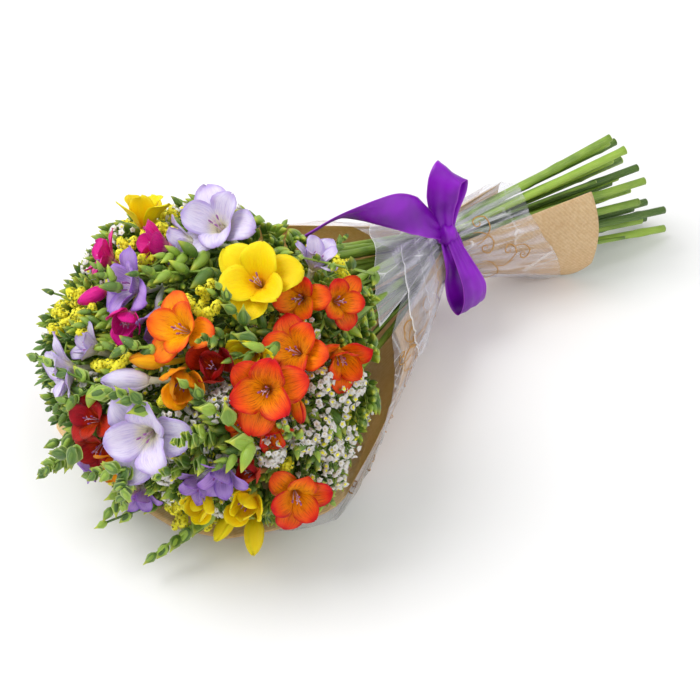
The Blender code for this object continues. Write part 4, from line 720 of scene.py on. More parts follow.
# Paths, widths and directions across of the ribbon, all from inside the knot
RIBBON_STRIPS = [
    # The long tail that arches over the flowers
    ([KNOT, (129, 11, 92), (116, 9, 106), (100, 9, 117), (80, 10, 124), (60, 14, 124), (41, 21, 112)],
     (9, 20, 25, 24, 22, 18, 10),
     [(0, 0.6, 0.8), (0.2, 0.6, 0.7), (0.2, 0.5, 0.8), (0.1, 0.2, 0.9), (0, -0.3, 0.9),
      (-0.2, -0.6, 0.7), (-0.3, -0.6, 0.6)]),
    # The loop that stands up from the knot
    ([(141.2, 8.9, 79), (140.8, 14.3, 92), (140.4, 14.6, 106), (142.5, 16.1, 118), (147.7, 19.1, 122.5),
      (153, 22.3, 117), (153.1, 21.4, 105), (148.6, 18.6, 91), (144.2, 13, 79)],
     (9, 16, 21, 22, 22, 22, 19, 14, 9),
     [(0.87, -0.5, 0), (0.86, -0.5, 0), (0.8, -0.58, -0.1), (0.62, -0.7, -0.3), (0.42, -0.78, -0.47),
      (0.5, -0.75, -0.4), (0.7, -0.68, -0.15), (0.85, -0.52, 0), (0.87, -0.5, 0)]),
    # The loop that hangs down in front of the tie
    ([(141.5, 9, 74), (141, -3, 64), (142, -4.5, 50), (144, -5.5, 37), (146, -9, 28), (147, -15, 27),
      (148, -19, 35), (148, -19, 48), (145, -13, 63), (143.5, 6, 78)],
     (9, 16, 20, 21, 20, 20, 20, 19, 14, 8),
     [(0.98, 0.1, 0.1)] * 10),
]


# Which of its choices each CAD node shows

class CadPoints:
    """The corners of a CAD node, for telling which of several shapes was built."""

    REACH = 0.05

    def __init__(self, node):
        corners = frame["nodes"][node].data.vertices
        self.tree = KDTree(len(corners))
        for corner in corners:
            self.tree.insert(corner.co / METRES, corner.index)
        self.tree.balance()

    def hits(self, points):
        """How many of these points are corners of the node."""
        return sum(self.tree.find(Vector(point))[2] < self.REACH for point in points)


def ring_corners(path, radii, sides):
    """The corners of a CAD tube's rings."""
    path = np.asarray(path, float)
    _, first, second = ring_frames(path)
    spokes = around(full_turn(sides), first[:, None], second[:, None])
    return (path[:, None] + np.asarray(radii)[:, None, None] * spokes).reshape(-1, 3)


def easy_moves():
    """The small moves aside that a branch may have made."""
    ways = [unit(np.array(way) - 1.0) for way in np.ndindex(3, 3, 3) if way != (1, 1, 1)]
    return [np.zeros(3)] + [reach * way for reach in (2.5, 5.0, 8.0) for way in ways]


def branch_path(cad, control, radii, sides):
    """A branch's control points as the CAD has them, or None where it isn't there."""
    share = np.concatenate([[0.0], np.linspace(0.7, 1.0, len(control) - 1)])[:, None]
    best, found = 2, None
    for move in easy_moves():
        moved = control + share * move
        hits = cad.hits(ring_corners(moved, radii, sides)[sides:])
        if hits > best:
            best, found = hits, moved
    return found


def petal_tip(bloom, number, opening, reach, turn):
    axis, level, square = bloom_axes(bloom)
    radius, height, _ = petal_profile(bloom, number, opening, reach)[-1]
    out = around(math.radians(bloom.roll + 60.0 * number + turn), level, square)
    return bloom.centre + radius * out + height * axis


def petal_choice(cad, bloom, number):
    """How the CAD sets this petal, or None where it found no room."""
    return next((way for way in PETAL_CHOICES if cad.hits([petal_tip(bloom, number, *way)])), None)


# Skins: points in rows, and the values that the finishes read at them

VALUES = ("along", "across", "tone", "mask")


class Skin:
    """The points, faces and values of one piece, gathered part by part."""

    def __init__(self):
        self.points = []
        self.faces = []
        self.values = {name: [] for name in VALUES}
        self.count = 0

    def add(self, points, faces, **values):
        points = np.asarray(points, float).reshape(-1, 3)
        self.points.append(points)
        self.faces += [tuple(self.count + k for k in face) for face in faces]
        for name in VALUES:
            value = np.asarray(values.get(name, 0.0), float)
            self.values[name].append(np.broadcast_to(value.reshape(-1), (len(points),)))
        self.count += len(points)

    def set_last(self, **values):
        """Give both faces of the last sheet these values of its grid."""
        for name, value in values.items():
            self.values[name][-1] = np.tile(value.reshape(-1), 2)

    def piece(self, name, finish, slot, replaced=()):
        """A Blender object from what was gathered, riding with the frame."""
        mesh = bpy.data.meshes.new(name)
        points = np.concatenate(self.points) * METRES
        mesh.from_pydata(points.tolist(), [], self.faces)
        for label in VALUES:
            attribute = mesh.attributes.new(label, "FLOAT", "POINT")
            attribute.data.foreach_set("value", np.concatenate(self.values[label]).astype(np.float32))
        mesh.polygons.foreach_set("use_smooth", [True] * len(mesh.polygons))
        mesh.materials.append(finishes[finish])
        mesh.validate()
        made = bpy.data.objects.new(name, mesh)
        scene.collection.objects.link(made)
        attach(made, "root")
        if replaced:
            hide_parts(*replaced)
        return made


def rows_of_quads(rows, columns, closed=False, start=0):
    """Quads over rows of points, also from the last column to the first where it is closed."""
    quads = []
    for i in range(rows - 1):
        for k in range(columns if closed else columns - 1):
            after = (k + 1) % columns
            a, b = start + i * columns, start + (i + 1) * columns
            quads.append((a + k, a + after, b + after, b + k))
    return quads


def grid_normals(grid):
    down = np.gradient(grid, axis=0)
    over = np.gradient(grid, axis=1)
    normals = np.cross(down, over)
    return normals / np.maximum(np.linalg.norm(normals, axis=2), 1e-9)[:, :, None]


def add_blade(skin, grid, thickness, along, across, **values):
    """A thin closed blade on a grid of points: two faces and a rim."""
    rows, columns = grid.shape[:2]
    normals = grid_normals(grid)
    half = 0.5 * np.broadcast_to(np.asarray(thickness, float), (rows, columns))[:, :, None]
    count = rows * columns
    points = np.concatenate([(grid + half * normals).reshape(-1, 3), (grid - half * normals).reshape(-1, 3)])
    faces = [face[::-1] for face in rows_of_quads(rows, columns)]
    faces += rows_of_quads(rows, columns, start=count)
    index = np.arange(count).reshape(rows, columns)
    rim = np.concatenate([index[0], index[1:, -1], index[-1, -2::-1], index[-2:0:-1, 0]]).tolist()
    faces += [(a, b, count + b, count + a) for a, b in zip(rim, rim[1:] + rim[:1])]
    along = np.broadcast_to(np.asarray(along, float).reshape(-1, 1), (rows, columns)).reshape(-1)
    across = np.broadcast_to(np.asarray(across, float).reshape(1, -1), (rows, columns)).reshape(-1)
    skin.add(points, faces, along=np.tile(along, 2), across=np.tile(across, 2), **values)


def cross_frame(start, end):
    """Two directions square to the line between two points and to each other."""
    _, first, second = ring_frames([start, end])
    return first[0], second[0]


def add_rings(skin, rings, ends, along, across, **values):
    """A skin over rings of points, with a fan over each end."""
    rows, sides = rings.shape[:2]
    count = rows * sides
    faces = rows_of_quads(rows, sides, closed=True)
    for k in range(sides):
        after = (k + 1) % sides
        faces += [(count, after, k), (count + 1, count - sides + k, count - sides + after)]
    skin.add(np.concatenate([rings.reshape(-1, 3), ends]), faces, along=along, across=across, **values)


def add_lathe(skin, path, radii, sides, along=None, frames=None, **values):
    """A closed round skin along a path. Its ends are closed by a fan."""
    path = np.asarray(path, float)
    first, second = frames or ring_frames(path)[1:]
    angles = full_turn(sides)
    spokes = around(angles, first[:, None], second[:, None])
    rings = path[:, None] + np.asarray(radii, float)[:, None, None] * spokes
    along = lengths_along(path) if along is None else np.asarray(along, float)
    along = np.concatenate([np.repeat(along, sides), along[:1], along[-1:]])
    add_rings(skin, rings, path[[0, -1]], along, np.append(np.tile(angles, len(path)), [0.0, 0.0]), **values)


def rounded(path, spacing=3.0, reach=3):
    """A path at even spacing with its corners rounded."""
    path = np.asarray(path, float)
    steps = lengths_along(path)
    count = max(int(steps[-1] / spacing), 4)
    at = np.linspace(0, steps[-1], count + 1)
    even = np.stack([np.interp(at, steps, path[:, axis]) for axis in range(3)], axis=1)
    near = [min(i, count - i, reach) for i in range(count + 1)]
    return np.array([even[i - near[i]:i + near[i] + 1].mean(axis=0) for i in range(count + 1)])


# Petals and flowers

PETAL_ROWS = np.array([0.0, 0.08, 0.18, 0.3, 0.43, 0.56, 0.69, 0.8, 0.89, 0.96, 1.0])
PETAL_COLUMNS = np.linspace(-1, 1, 9)
PETAL_OUTLINE = [
    (0, 0.34), (0.1, 0.5), (0.2, 0.7), (0.3, 0.88), (0.42, 1.03), (0.55, 1.1), (0.68, 1.04), (0.79, 0.89),
    (0.88, 0.68), (0.94, 0.46), (0.98, 0.24), (1.0, 0.08),
]
PETAL_SKIN = 0.5


def petal_grid(bloom, number, choice, rng):
    """A petal's points: wrapped round the throat, cupped, creased and ruffled."""
    opening, reach, turn = choice
    opening += rng.uniform(-7, 5)
    reach *= rng.uniform(0.95, 1.03)
    turn += rng.uniform(-4, 4)
    inner = number % 2 == 0
    axis, level, square = bloom_axes(bloom)
    profile = np.array(petal_profile(bloom, number, opening, reach))
    steps = np.linspace(0, 1, len(profile))
    rows = PETAL_ROWS
    radius, height, angle = (np.interp(rows, steps, profile[:, k]) for k in range(3))
    azimuth = np.radians(bloom.roll + 60.0 * number + turn * rows)
    out = around(azimuth, level, square)
    over = np.cross(axis, out)
    inward = np.sin(angle)[:, None] * axis - np.cos(angle)[:, None] * out
    length = bloom.size * reach
    curl = rng.uniform(-0.05, 0.12) * length * rows ** 4
    centre = bloom.centre + radius[:, None] * out + height[:, None] * axis - curl[:, None] * inward
    half = 1.08 * PETAL_WIDTH[bloom.kind] * length * np.interp(rows, *zip(*PETAL_OUTLINE))
    bend = radius + (0.42 if inner else 0.8) * length * np.minimum(rows / 0.5, 1.0)
    lap = np.minimum(half / bend, 1.1)
    s = PETAL_COLUMNS
    wrapped = lap[:, None] * s
    phase = rng.uniform(0, 2 * math.pi, 4)
    sided = np.where(s > 0, phase[0], phase[1])
    wave = 0.045 * np.sin(9.0 * rows[:, None] + sided) + 0.014 * np.sin(16.0 * rows[:, None] + 2 * sided)
    wave = (1.0 + 0.06 * max(bloom.size - 18.0, 0.0)) * np.abs(s) ** 2.0 * wave
    flute = 0.016 * np.sin(3.4 * math.pi * s + phase[2]) * np.sin(math.pi * rows)[:, None]
    crease = -0.028 * np.outer(np.sin(math.pi * rows), np.exp(-(s / 0.16) ** 2))
    rise = bend[:, None] * (1 - np.cos(wrapped)) + length * (wave * rows[:, None] ** 1.2 + flute + crease)
    grid = centre[:, None] + (bend[:, None] * np.sin(wrapped))[:, :, None] * over[:, None]
    grid = grid + rise[:, :, None] * inward[:, None]
    onward = np.cos(angle)[:, None] * axis + np.sin(angle)[:, None] * out
    notch = 0.025 * length * np.outer(rows ** 8, np.exp(-((s - 0.3 * math.sin(phase[3])) / 0.3) ** 2))
    return grid - notch[:, :, None] * onward[:, None]


def add_petal(skin, bloom, number, choice, rng):
    grid = petal_grid(bloom, number, choice, rng)
    rim = np.minimum(1.0, 0.3 + 2.0 * (1 - np.abs(PETAL_COLUMNS)))
    tip = np.minimum(1.0, 0.3 + 6.0 * (1 - PETAL_ROWS))
    add_blade(skin, grid, PETAL_SKIN * np.outer(tip, rim), PETAL_ROWS, PETAL_COLUMNS, tone=rng.uniform())


def add_flower_tube(skin, bloom, path, base_radius, rng):
    """The funnel below the petals, with its hollow throat."""
    axis = unit(bloom.facing)
    middle = smooth_path(path, 9)
    radii = np.interp(np.linspace(0, 1, 9), (0, 0.5, 0.8, 1.0), (base_radius, 1.9, 2.5, 3.05))
    middle[-1] = bloom.centre + 0.5 * axis
    along = np.linspace(-1, -0.02, 9)
    _, first, second = ring_frames(middle)
    if bloom.kind != "closed":
        deep = np.array([bloom.centre + step * axis for step in (0.3, -1.5, -3.5, -5.0)])
        middle = np.concatenate([middle, deep])
        radii = np.concatenate([radii, [2.7, 2.2, 1.6, 0.6]])
        along = np.concatenate([along, [0.0, -0.05, -0.1, -0.15]])
        first, second = (np.concatenate([side, np.repeat(side[-1:], 4, axis=0)]) for side in (first, second))
    add_lathe(skin, middle, radii, 12, along=along, frames=(first, second), tone=rng.uniform())


def add_closed_flower(skin, base, tip, width, rng, wraps=3):
    """A flower still closed: petals wrapped round each other to a blunt point."""
    axis = tip - base
    length = np.linalg.norm(axis)
    axis = axis / length
    first, second = cross_frame(base, tip)
    rows = np.array([0.0, 0.08, 0.2, 0.34, 0.5, 0.65, 0.78, 0.88, 0.95, 1.0])
    swell = np.interp(rows, *zip(*CLOSED_OUTLINE))
    start = rng.uniform(0, 2 * math.pi)
    columns = np.linspace(-1, 1, 9)
    for layer in (1, 0):
        for number in range(wraps):
            azimuth = start + 2 * math.pi * (number + 0.5 * layer) / wraps
            spread = math.radians(84 if layer == 0 else 70)
            lap = 0.05 * width * columns - (0.09 * width if layer else 0.0)
            narrow = np.interp(rows, (0, 0.5, 0.9, 1.0), (1, 1, 0.8, 0.3))
            turn = azimuth + narrow[:, None] * spread * columns + 0.25 * rows[:, None]
            reach = swell[:, None] * width + lap * np.minimum(1.0, 4 * swell)[:, None]
            high = rows[:, None] * length * (1.0 - 0.03 * layer)
            high = high - 0.04 * length * rows[:, None] ** 3 * columns ** 2
            grid = base + high[:, :, None] * axis + reach[:, :, None] * around(turn, first, second)
            add_blade(skin, grid, 0.35, 0.15 + 0.85 * rows, columns, tone=rng.uniform(), mask=0.6)


def add_stamens(skin, bloom, rng):
    """Three stamens and the split style in a flower's throat."""
    axis, level, square = bloom_axes(bloom)
    foot = bloom.centre - 4.0 * axis
    tall = min(0.42 * bloom.size, 9.5)
    for number in range(3):
        out = around(math.radians(bloom.roll + 120.0 * number + rng.uniform(-12, 12)), level, square)
        top = bloom.centre + tall * rng.uniform(0.85, 1.05) * axis + 2.3 * out
        path = smooth_path([foot + 0.4 * out, bloom.centre + 1.1 * out, top], 5)
        add_lathe(skin, path, [0.28] * 5, 4, tone=rng.uniform())
        tip = top + 0.34 * bloom.size * 0.45 * unit(axis + 0.25 * out)
        path = smooth_path([top - 0.8 * axis, 0.5 * (top + tip) + 0.25 * out, tip], 5)
        add_lathe(skin, path, [0.3, 0.56, 0.62, 0.54, 0.2], 5, tone=rng.uniform(), mask=1.0)
    top = bloom.centre + 1.2 * tall * axis
    add_lathe(skin, smooth_path([foot, bloom.centre, top], 4), [0.28] * 4, 5, mask=0.3)
    for number in range(3):
        out = around(math.radians(bloom.roll + 60 + 120.0 * number), level, square)
        path = [top - 0.3 * axis, top + 0.8 * axis + 0.7 * out, top + 1.2 * axis + 1.8 * out]
        add_lathe(skin, path, [0.24, 0.22, 0.14], 4, mask=0.3)


def spare_choice(head, bloom, number):
    """The clearest way to set a petal that the CAD left out, or None."""
    fewest, found = 6, None
    for choice in PETAL_CHOICES:
        grid = petal_grid(bloom, number, choice, np.random.default_rng(number))[4::2, ::2].reshape(-1, 3)
        met = sum(not head.is_open(point, 0.4) for point in grid)
        if met < fewest and all(head.is_wrapped(point) for point in grid):
            fewest, found = met, choice
    return found


def dress_blooms(body, rng, head):
    """One body of blooms: petals with tubes, and its stamens."""
    owner = "bloom_" + body.name
    cad = CadPoints(owner)
    petals, threads = Skin(), Skin()
    for number, (bloom, path) in enumerate(zip(body.blooms, flower_paths(body))):
        base_radius = BASE_RADIUS if number == 0 else SIDE_BASE_RADIUS
        add_flower_tube(petals, bloom, path, base_radius, rng)
        axis = unit(bloom.facing)
        if bloom.kind == "closed":
            for length in np.array(CLOSED_CHOICES) * bloom.size:
                tip = bloom.centre + length * axis
                if cad.hits([tip]):
                    add_closed_flower(petals, bloom.centre - 3.0 * axis, tip, CLOSED_WIDTH * length, rng)
                    break
            continue
        for petal in range(6):
            choice = petal_choice(cad, bloom, petal)
            if choice is None:
                choice = spare_choice(head, bloom, petal)
                if choice is None:
                    continue
                spare = petal_grid(bloom, petal, choice, np.random.default_rng(petal))
                head.take(spare[3::2, ::2].reshape(-1, 3))
            add_petal(petals, bloom, petal, choice, rng)
        if head.is_wrapped(bloom.centre + 8.0 * axis):
            add_stamens(threads, bloom, rng)
    petals.piece("petals_" + body.name, body.colour, body.colour, [owner])
    if threads.count:
        threads.piece("stamens_" + body.name, "stamens", body.colour)


# Stems, sprigs and buds

def add_stem(skin, control, radii, sides, rng, swell=0.0, cut=False):
    """A round stem with slight joints. A cut end shows its pale pith."""
    control = np.asarray(control, float)
    path = rounded(control, 4.5, 2)
    reached = lengths_along(control)
    radii = np.interp(np.linspace(0, 1, len(control)), np.linspace(0, 1, len(radii)), radii)
    radii = np.interp(np.linspace(0, reached[-1], len(path)), reached, radii)
    joint = np.exp(-((((lengths_along(path) + rng.uniform(0, 60)) % 62.0) - 31.0) / 3.0) ** 2)
    radii = radii * (1 + swell * joint)
    tone = rng.uniform()
    add_lathe(skin, path, radii, sides, tone=tone)
    if cut:
        onward = unit(path[0] - path[1])
        disc = [path[0] + step * onward for step in (-0.1, 0.35)]
        add_lathe(skin, disc, [radii[0] * 0.97, radii[0] * 0.86], sides, tone=tone, mask=1.0)


def add_bract(skin, base, axis, side, length, width, wrap, lift, rng, mask=0.0, fine=True):
    """A small pointed leaf that clasps a bud or a branch."""
    over = np.cross(axis, side)
    rows = np.array([0.0, 0.2, 0.45, 0.75, 1.0] if fine else [0.0, 0.35, 0.72, 1.0])
    columns = np.linspace(-1, 1, 5 if fine else 3)
    half = width * np.interp(rows, (0, 0.2, 0.45, 0.7, 0.9, 1.0), (0.55, 0.9, 1.0, 0.76, 0.36, 0.06))
    out = lift * np.interp(rows, (0, 0.3, 0.7, 1.0), (0.75, 1.0, 1.05, 1.15))
    turn = wrap * columns * half[:, None] / width
    grid = base + (rows * length)[:, None, None] * axis + out[:, None, None] * (
        np.cos(turn)[:, :, None] * side) + (half[:, None] * np.sin(turn) / math.sin(wrap))[:, :, None] * over
    add_blade(skin, grid, 0.3, rows, columns, tone=rng.uniform(), mask=mask)


BUD_ROWS = (0.0, 0.1, 0.25, 0.42, 0.6, 0.78, 0.92, 1.0)
BUD_RADII = (0.4, 0.72, 0.98, 1.0, 0.82, 0.5, 0.24, 0.05)


def partway(path, part):
    """The point this share of the way along a path, and the direction there."""
    spot = part * (len(path) - 1) * 0.999
    whole = int(spot)
    step = path[whole + 1] - path[whole]
    return path[whole] + (spot - whole) * step, unit(step)


def add_bud(skin, base, tip, width, outwards, rng, fine=True, slim=False):
    """A bud in two clasping bracts. A slim one is nearly all bract."""
    axis = tip - base
    length = np.linalg.norm(axis)
    axis = axis / length
    rows = np.array(BUD_ROWS if fine else (0.0, 0.2, 0.42, 0.66, 0.88, 1.0))
    body, leaf, wrap, *reaches = (0.75, 1.45, 0.9, 0.95, 0.8) if slim else (1.0, 1.02, 1.25, 0.62, 0.5)
    bend = 0.09 * length * np.sin(math.pi * rows)
    path = base + (rows * length)[:, None] * axis + bend[:, None] * outwards
    radii = width * body * np.interp(rows, BUD_ROWS, BUD_RADII)
    add_lathe(skin, path, radii, 8 if fine else 6, along=rows, tone=rng.uniform())
    side = square_to(outwards, axis)
    for way, reach in zip((side, -side), reaches):
        add_bract(skin, base - 0.04 * length * axis, axis, way, reach * length, width * leaf, wrap,
                  1.04 * (width * body), rng, mask=0.5, fine=fine)


def bud_places(cad, sprig, control):
    """Base, tip, reach and the outward side of each bud that the CAD shows."""
    path = control[-3:]
    places = []
    for number in range(sprig.buds):
        part = number / max(sprig.buds - 1, 1)
        base, along = partway(path, part)
        outwards = square_to(dome_normal(base), along)
        aside = np.cross(along, outwards)
        length = sprig.length * (1.0 - 0.4 * part)
        last = number == sprig.buds - 1
        for side, reach in BUD_CHOICES:
            way = side * (1 if number % 2 else -1)
            spread, lift = (0.0, 0.1) if last else (0.62 * way, 0.4)
            direction = unit(along + spread * aside + lift * outwards)
            tip = base + length * reach * direction
            if cad.hits([tip]):
                places.append((base, tip, BUD_WIDTH * length * reach, outwards))
                break
    return places


def dress_stem(plant, main, twigs, sprigs, rng, head):
    """A stem with its twigs and sprigs, and the buds that they carry."""
    owner = "stem_" + plant.name
    cad = CadPoints(owner)
    green, buds = Skin(), Skin()
    add_stem(green, main.control, main.radii, 12, rng, swell=0.2, cut=True)
    head.root_on(main.control)
    for count, strand in enumerate(twigs):
        control = branched(strand.control, main.control, 2.0 + BRANCH_STEP * count)
        head.root_on(control)
        add_stem(green, control, (1.4, 1.45, 1.35, 1.45), 8, rng)
    for body, strand in zip(plant.bodies, twigs):
        add_flower_bracts(buds, body, rng)
    for count, (sprig, strand) in enumerate(zip(plant.sprigs, sprigs)):
        back = 2.0 + BRANCH_STEP * (count + len(twigs))
        control = branched(strand.control, main.control, back)
        control = branch_path(cad, control, (1.2, 1.35, 1.2, 1.05, 0.8), 3)
        if control is None:
            continue
        head.root_on(control)
        add_stem(green, control, (1.2, 1.3, 1.15, 0.95, 0.7), 7, rng)
        for base, tip, width, outwards in bud_places(cad, sprig, control):
            across, rise = seen_place(base)
            slim = rise < -55.0 and across < -85.0
            tip = tip + (0.3 if slim else 0.1) * (tip - base)
            add_bud(buds, base, tip, width, SEEN_BACK if slim else outwards, rng, slim=slim)
    green.piece(owner + "_skin", "stem_green", "green_stems", [owner])
    if buds.count:
        buds.piece("buds_" + plant.name, "bud_green", "green_stems")


def add_flower_bracts(skin, body, rng):
    """The pair of small green leaves that each flower grows from."""
    for path in flower_paths(body):
        axis = unit(path[1] - path[0])
        _, first, _ = ring_frames(path[:2])
        for way in (1, -1):
            add_bract(skin, path[0] - 1.0 * axis, axis, way * first[0], 8.5, 2.3, 1.3, 2.0, rng, mask=0.5)


# Filler sprays

def add_statice_floret(skin, base, direction, size, rng):
    """A papery white cup with five lobes, drawn in to a point below."""
    turns = rng.uniform(0, 2 * math.pi) + np.arange(10) * math.pi / 5
    lobes = np.where(np.arange(10) % 2 == 0, 1.0, 0.74)
    spokes = around(turns, *cross_frame(base, base + direction))
    rim = base + size * 1.4 * direction + size * lobes[:, None] * spokes
    rim += (0.15 * size * rng.uniform(-1, 1, 10))[:, None] * direction
    pit = base + size * 0.85 * direction
    faces = []
    for k in range(10):
        after = (k + 1) % 10
        faces += [(0, 1 + after, 1 + k), (1 + k, 1 + after, 11)]
    skin.add(np.concatenate([base[None], rim, pit[None]]), faces, along=[0.0] + [1.0] * 10 + [0.55],
             tone=rng.uniform(), mask=[0.0] + [0.0] * 10 + [1.0])
    return pit


def add_star(skin, base, direction, size, rng, rays=5):
    """A tiny star of pointed petals round a raised middle."""
    count = 2 * rays
    angles = rng.uniform(0, 2 * math.pi) + np.arange(count) * math.pi / rays
    spread = np.where(np.arange(count) % 2 == 0, 1.0, 0.45)
    lift = np.where(np.arange(count) % 2 == 0, 0.55, 0.7)
    spokes = around(angles, *cross_frame(base, base + direction))
    ring = base + size * lift[:, None] * direction + size * spread[:, None] * spokes
    faces = [(1 + k, 1 + (k + 1) % count, 0) for k in range(count)]
    skin.add(np.concatenate([(base + size * 1.05 * direction)[None], ring]), faces,
             along=np.concatenate([[0.2], spread]), tone=rng.uniform(), mask=1.0)


# The turn from each of several evenly spread directions to the next, and the stars of a solidago head
GOLDEN_TURN = 2.39996
STARS = 26


def even_directions(numbers, high, turn=0.0):
    """Directions spread evenly over a ball, at these heights on it."""
    flat = np.sqrt(1 - high * high)
    angles = turn + numbers * GOLDEN_TURN
    return np.stack([flat * np.cos(angles), flat * np.sin(angles), high], axis=1)


def add_cluster(green, heads, dots, kind, path, number, cad, rng):
    """The florets of one twig, in each cup or head that the CAD shows there."""
    end = path[-1]
    along = unit(path[-1] - path[-2])
    sides = cross_frame(path[-2], path[-1])
    for back, lean, turn in FLORET_PLACES:
        side = around(math.radians(turn + 97 * number), *sides)
        direction = around(math.radians(lean), along, side)
        base = end - back * along
        for share in FLORET_CHOICES:
            size = FLORET_SIZE[kind] * share
            level, square = cross_frame(base, base + direction * size * 1.5)
            mouth = base + 1.5 * size * direction
            corners = [mouth]
            if kind == "statice":
                corners = [mouth + 0.8 * size * way for way in (level, square, -level, -square)]
            if cad.hits(corners):
                if kind == "statice":
                    add_statice_head(green, heads, dots, base, direction, size, level, square, rng)
                else:
                    add_solidago_head(green, heads, base, direction, size, level, square, rng)
                break


def add_statice_head(green, heads, dots, base, direction, size, level, square, rng, count=11):
    """Papery cups on short stalks, spread over a CAD cup, some with a yellow blossom."""
    numbers = np.arange(count)
    turn = rng.uniform(0, 2 * math.pi)
    for x, y, z in even_directions(numbers, 1.0 - (numbers + 0.5) / count, turn):
        way = unit(1.1 * z * direction + 0.85 * (x * level + y * square))
        top = base + size * (0.92 + 0.25 * rng.uniform()) * way
        add_lathe(green, [base, top], [0.4, 0.55], 3, tone=rng.uniform())
        small = rng.uniform(1.9, 2.7)
        pit = add_statice_floret(heads, top - 0.5 * way, unit(way + 0.25 * rng.normal(size=3)), small, rng)
        if rng.uniform() < 0.4:
            add_star(dots, pit, way, rng.uniform(1.4, 1.9), rng)
        start = base + rng.uniform(0.4, 0.85) * (top - base)
        end = start + 1.8 * unit(way + 0.8 * rng.normal(size=3))
        add_lathe(green, [start, end], [0.45, 0.12], 3, tone=rng.uniform())


def add_solidago_head(green, heads, base, direction, size, level, square, rng):
    """Tiny yellow stars all round a short green core."""
    length = 1.5 * size
    core = [base + part * length * direction for part in (0.0, 0.25, 0.6, 0.95)]
    radii = [0.3, 0.3 * size, 0.34 * size, 0.1 * size]
    add_lathe(heads, core, radii, 5, along=[0.0, 0.1, 0.2, 0.2], tone=rng.uniform())
    for number in range(STARS):
        part = (number + 0.5) / STARS
        out = around(number * GOLDEN_TURN + rng.uniform(-0.3, 0.3), level, square)
        reach = size * 0.52 * math.sin(math.pi * min(0.22 + 0.7 * part, 1.0)) * rng.uniform(0.7, 1.05)
        way = unit(out + (0.2 + 1.2 * part ** 2) * direction)
        foot = base + (0.15 + 0.8 * part) * length * direction
        spot = foot + reach * way
        add_lathe(green, [foot, spot], [0.16, 0.24], 3, tone=rng.uniform())
        add_star(heads, spot - 0.4 * way, unit(way + 0.25 * rng.normal(size=3)), rng.uniform(1.5, 2.0), rng)


def dress_spray(spray, main, twigs, rng, head):
    """A spray of filler flowers: stem, twigs, heads and, on statice, yellow blossoms."""
    owner = "spray_" + spray.name
    cad = CadPoints(owner)
    green, heads, dots = Skin(), Skin(), Skin()
    add_stem(green, main, [FILLER_RADIUS] * 2, 8, rng, swell=0.15, cut=True)
    for count, strand in enumerate(twigs):
        control = branched(strand.control, main, 2.0 + BRANCH_STEP * count)
        control = branch_path(cad, control, (0.75, 0.9, 0.7), 3)
        if control is None:
            continue
        head.root_on(control)
        add_stem(green, control, (0.75, 0.8, 0.6), 6, rng)
        add_scales(green, control, rng)
        add_cluster(green, heads, dots, spray.kind, control, count, cad, rng)
    slot = spray.kind + "_florets"
    heads.piece("florets_" + spray.name, FLORETS[spray.kind], slot, [owner])
    green.piece("twigs_" + spray.name, "stem_green", "green_stems")
    if dots.count:
        dots.piece("blossoms_" + spray.name, "solidago_yellow", slot)


def add_leaf(skin, base, axis, side, length, width, rng):
    """A pointed leaf, folded along its middle and bent back towards its tip."""
    over = np.cross(axis, side)
    rows = np.array([0.0, 0.25, 0.55, 0.8, 1.0])
    columns = np.array([-1.0, 0.0, 1.0])
    half = width * np.interp(rows, (0, 0.2, 0.45, 0.7, 0.9, 1.0), (0.4, 0.85, 1.0, 0.76, 0.36, 0.05))
    rise = 0.18 * length * rows[:, None] ** 2 - 0.35 * half[:, None] * np.abs(columns) ** 1.5
    grid = base + (rows * length)[:, None, None] * axis + rise[:, :, None] * side
    grid = grid + (half[:, None] * columns)[:, :, None] * over
    add_blade(skin, grid, 0.3, rows, columns, tone=rng.uniform(), mask=0.5)


def add_scales(skin, control, rng):
    """Small pointed leaves along a twig."""
    path = rounded(control, spacing=4.0)
    for i in range(len(path) // 3, len(path) - 1):
        along = unit(path[i + 1] - path[i])
        side = square_to(rng.normal(size=3), along)
        onward = unit(along + 0.35 * side)
        add_bract(skin, path[i], onward, side, rng.uniform(3.5, 6.0), 1.0, 0.9, 0.6, rng, fine=False)


# What fills the head between the flowers: more buds, leaves and filler flowers on twigs of their own

# Areas of one kind in the seen plane: across, rise and reach
AREAS = {
    "statice": [
        (-20, -23, 26), (-16, -59, 24), (-43, -59, 18), (-99, -39, 20), (-89, -10, 12), (-145, -33, 13),
        (-69, 3, 12), (-30, 5, 14),
    ],
    "solidago": [
        (-184, 23, 14), (-141, 56, 16), (-131, 82, 18), (-89, 23, 16), (-151, 0, 12), (-108, -108, 16),
        (-145, -82, 12), (0, 58, 10), (-66, -66, 10),
    ],
    "leaves": [
        (-198, -5, 16), (-190, -60, 22), (-140, -110, 20), (-110, -128, 20), (-80, -125, 16),
        (-160, -90, 16),
    ],
}
# How often each kind comes elsewhere, in front and behind
SHARES = {True: (("buds", 0.72), ("leaves", 0.12), ("statice", 0.09), ("solidago", 0.07)),
          False: (("buds", 0.45), ("leaves", 0.2), ("statice", 0.2), ("solidago", 0.15))}
# The top of the head's outline in the seen plane: places across and its rise there
OUTLINE_ACROSS = (-215, -190, -151, -108, -66, 0, 20)
OUTLINE_TOP = (-5, 30, 92, 96, 86, 60, 52)
ROOMS = {"buds": 3.2, "leaves": 3.2, "statice": 5.0, "solidago": 4.0}
# How far below the rounded head's surface a tip may come, best first, and how near two of them come
LEVELS = ((1, -3, -7, -12, -18, -24), (-28, -34, -40))
SPACINGS = (7.4, 9.5)


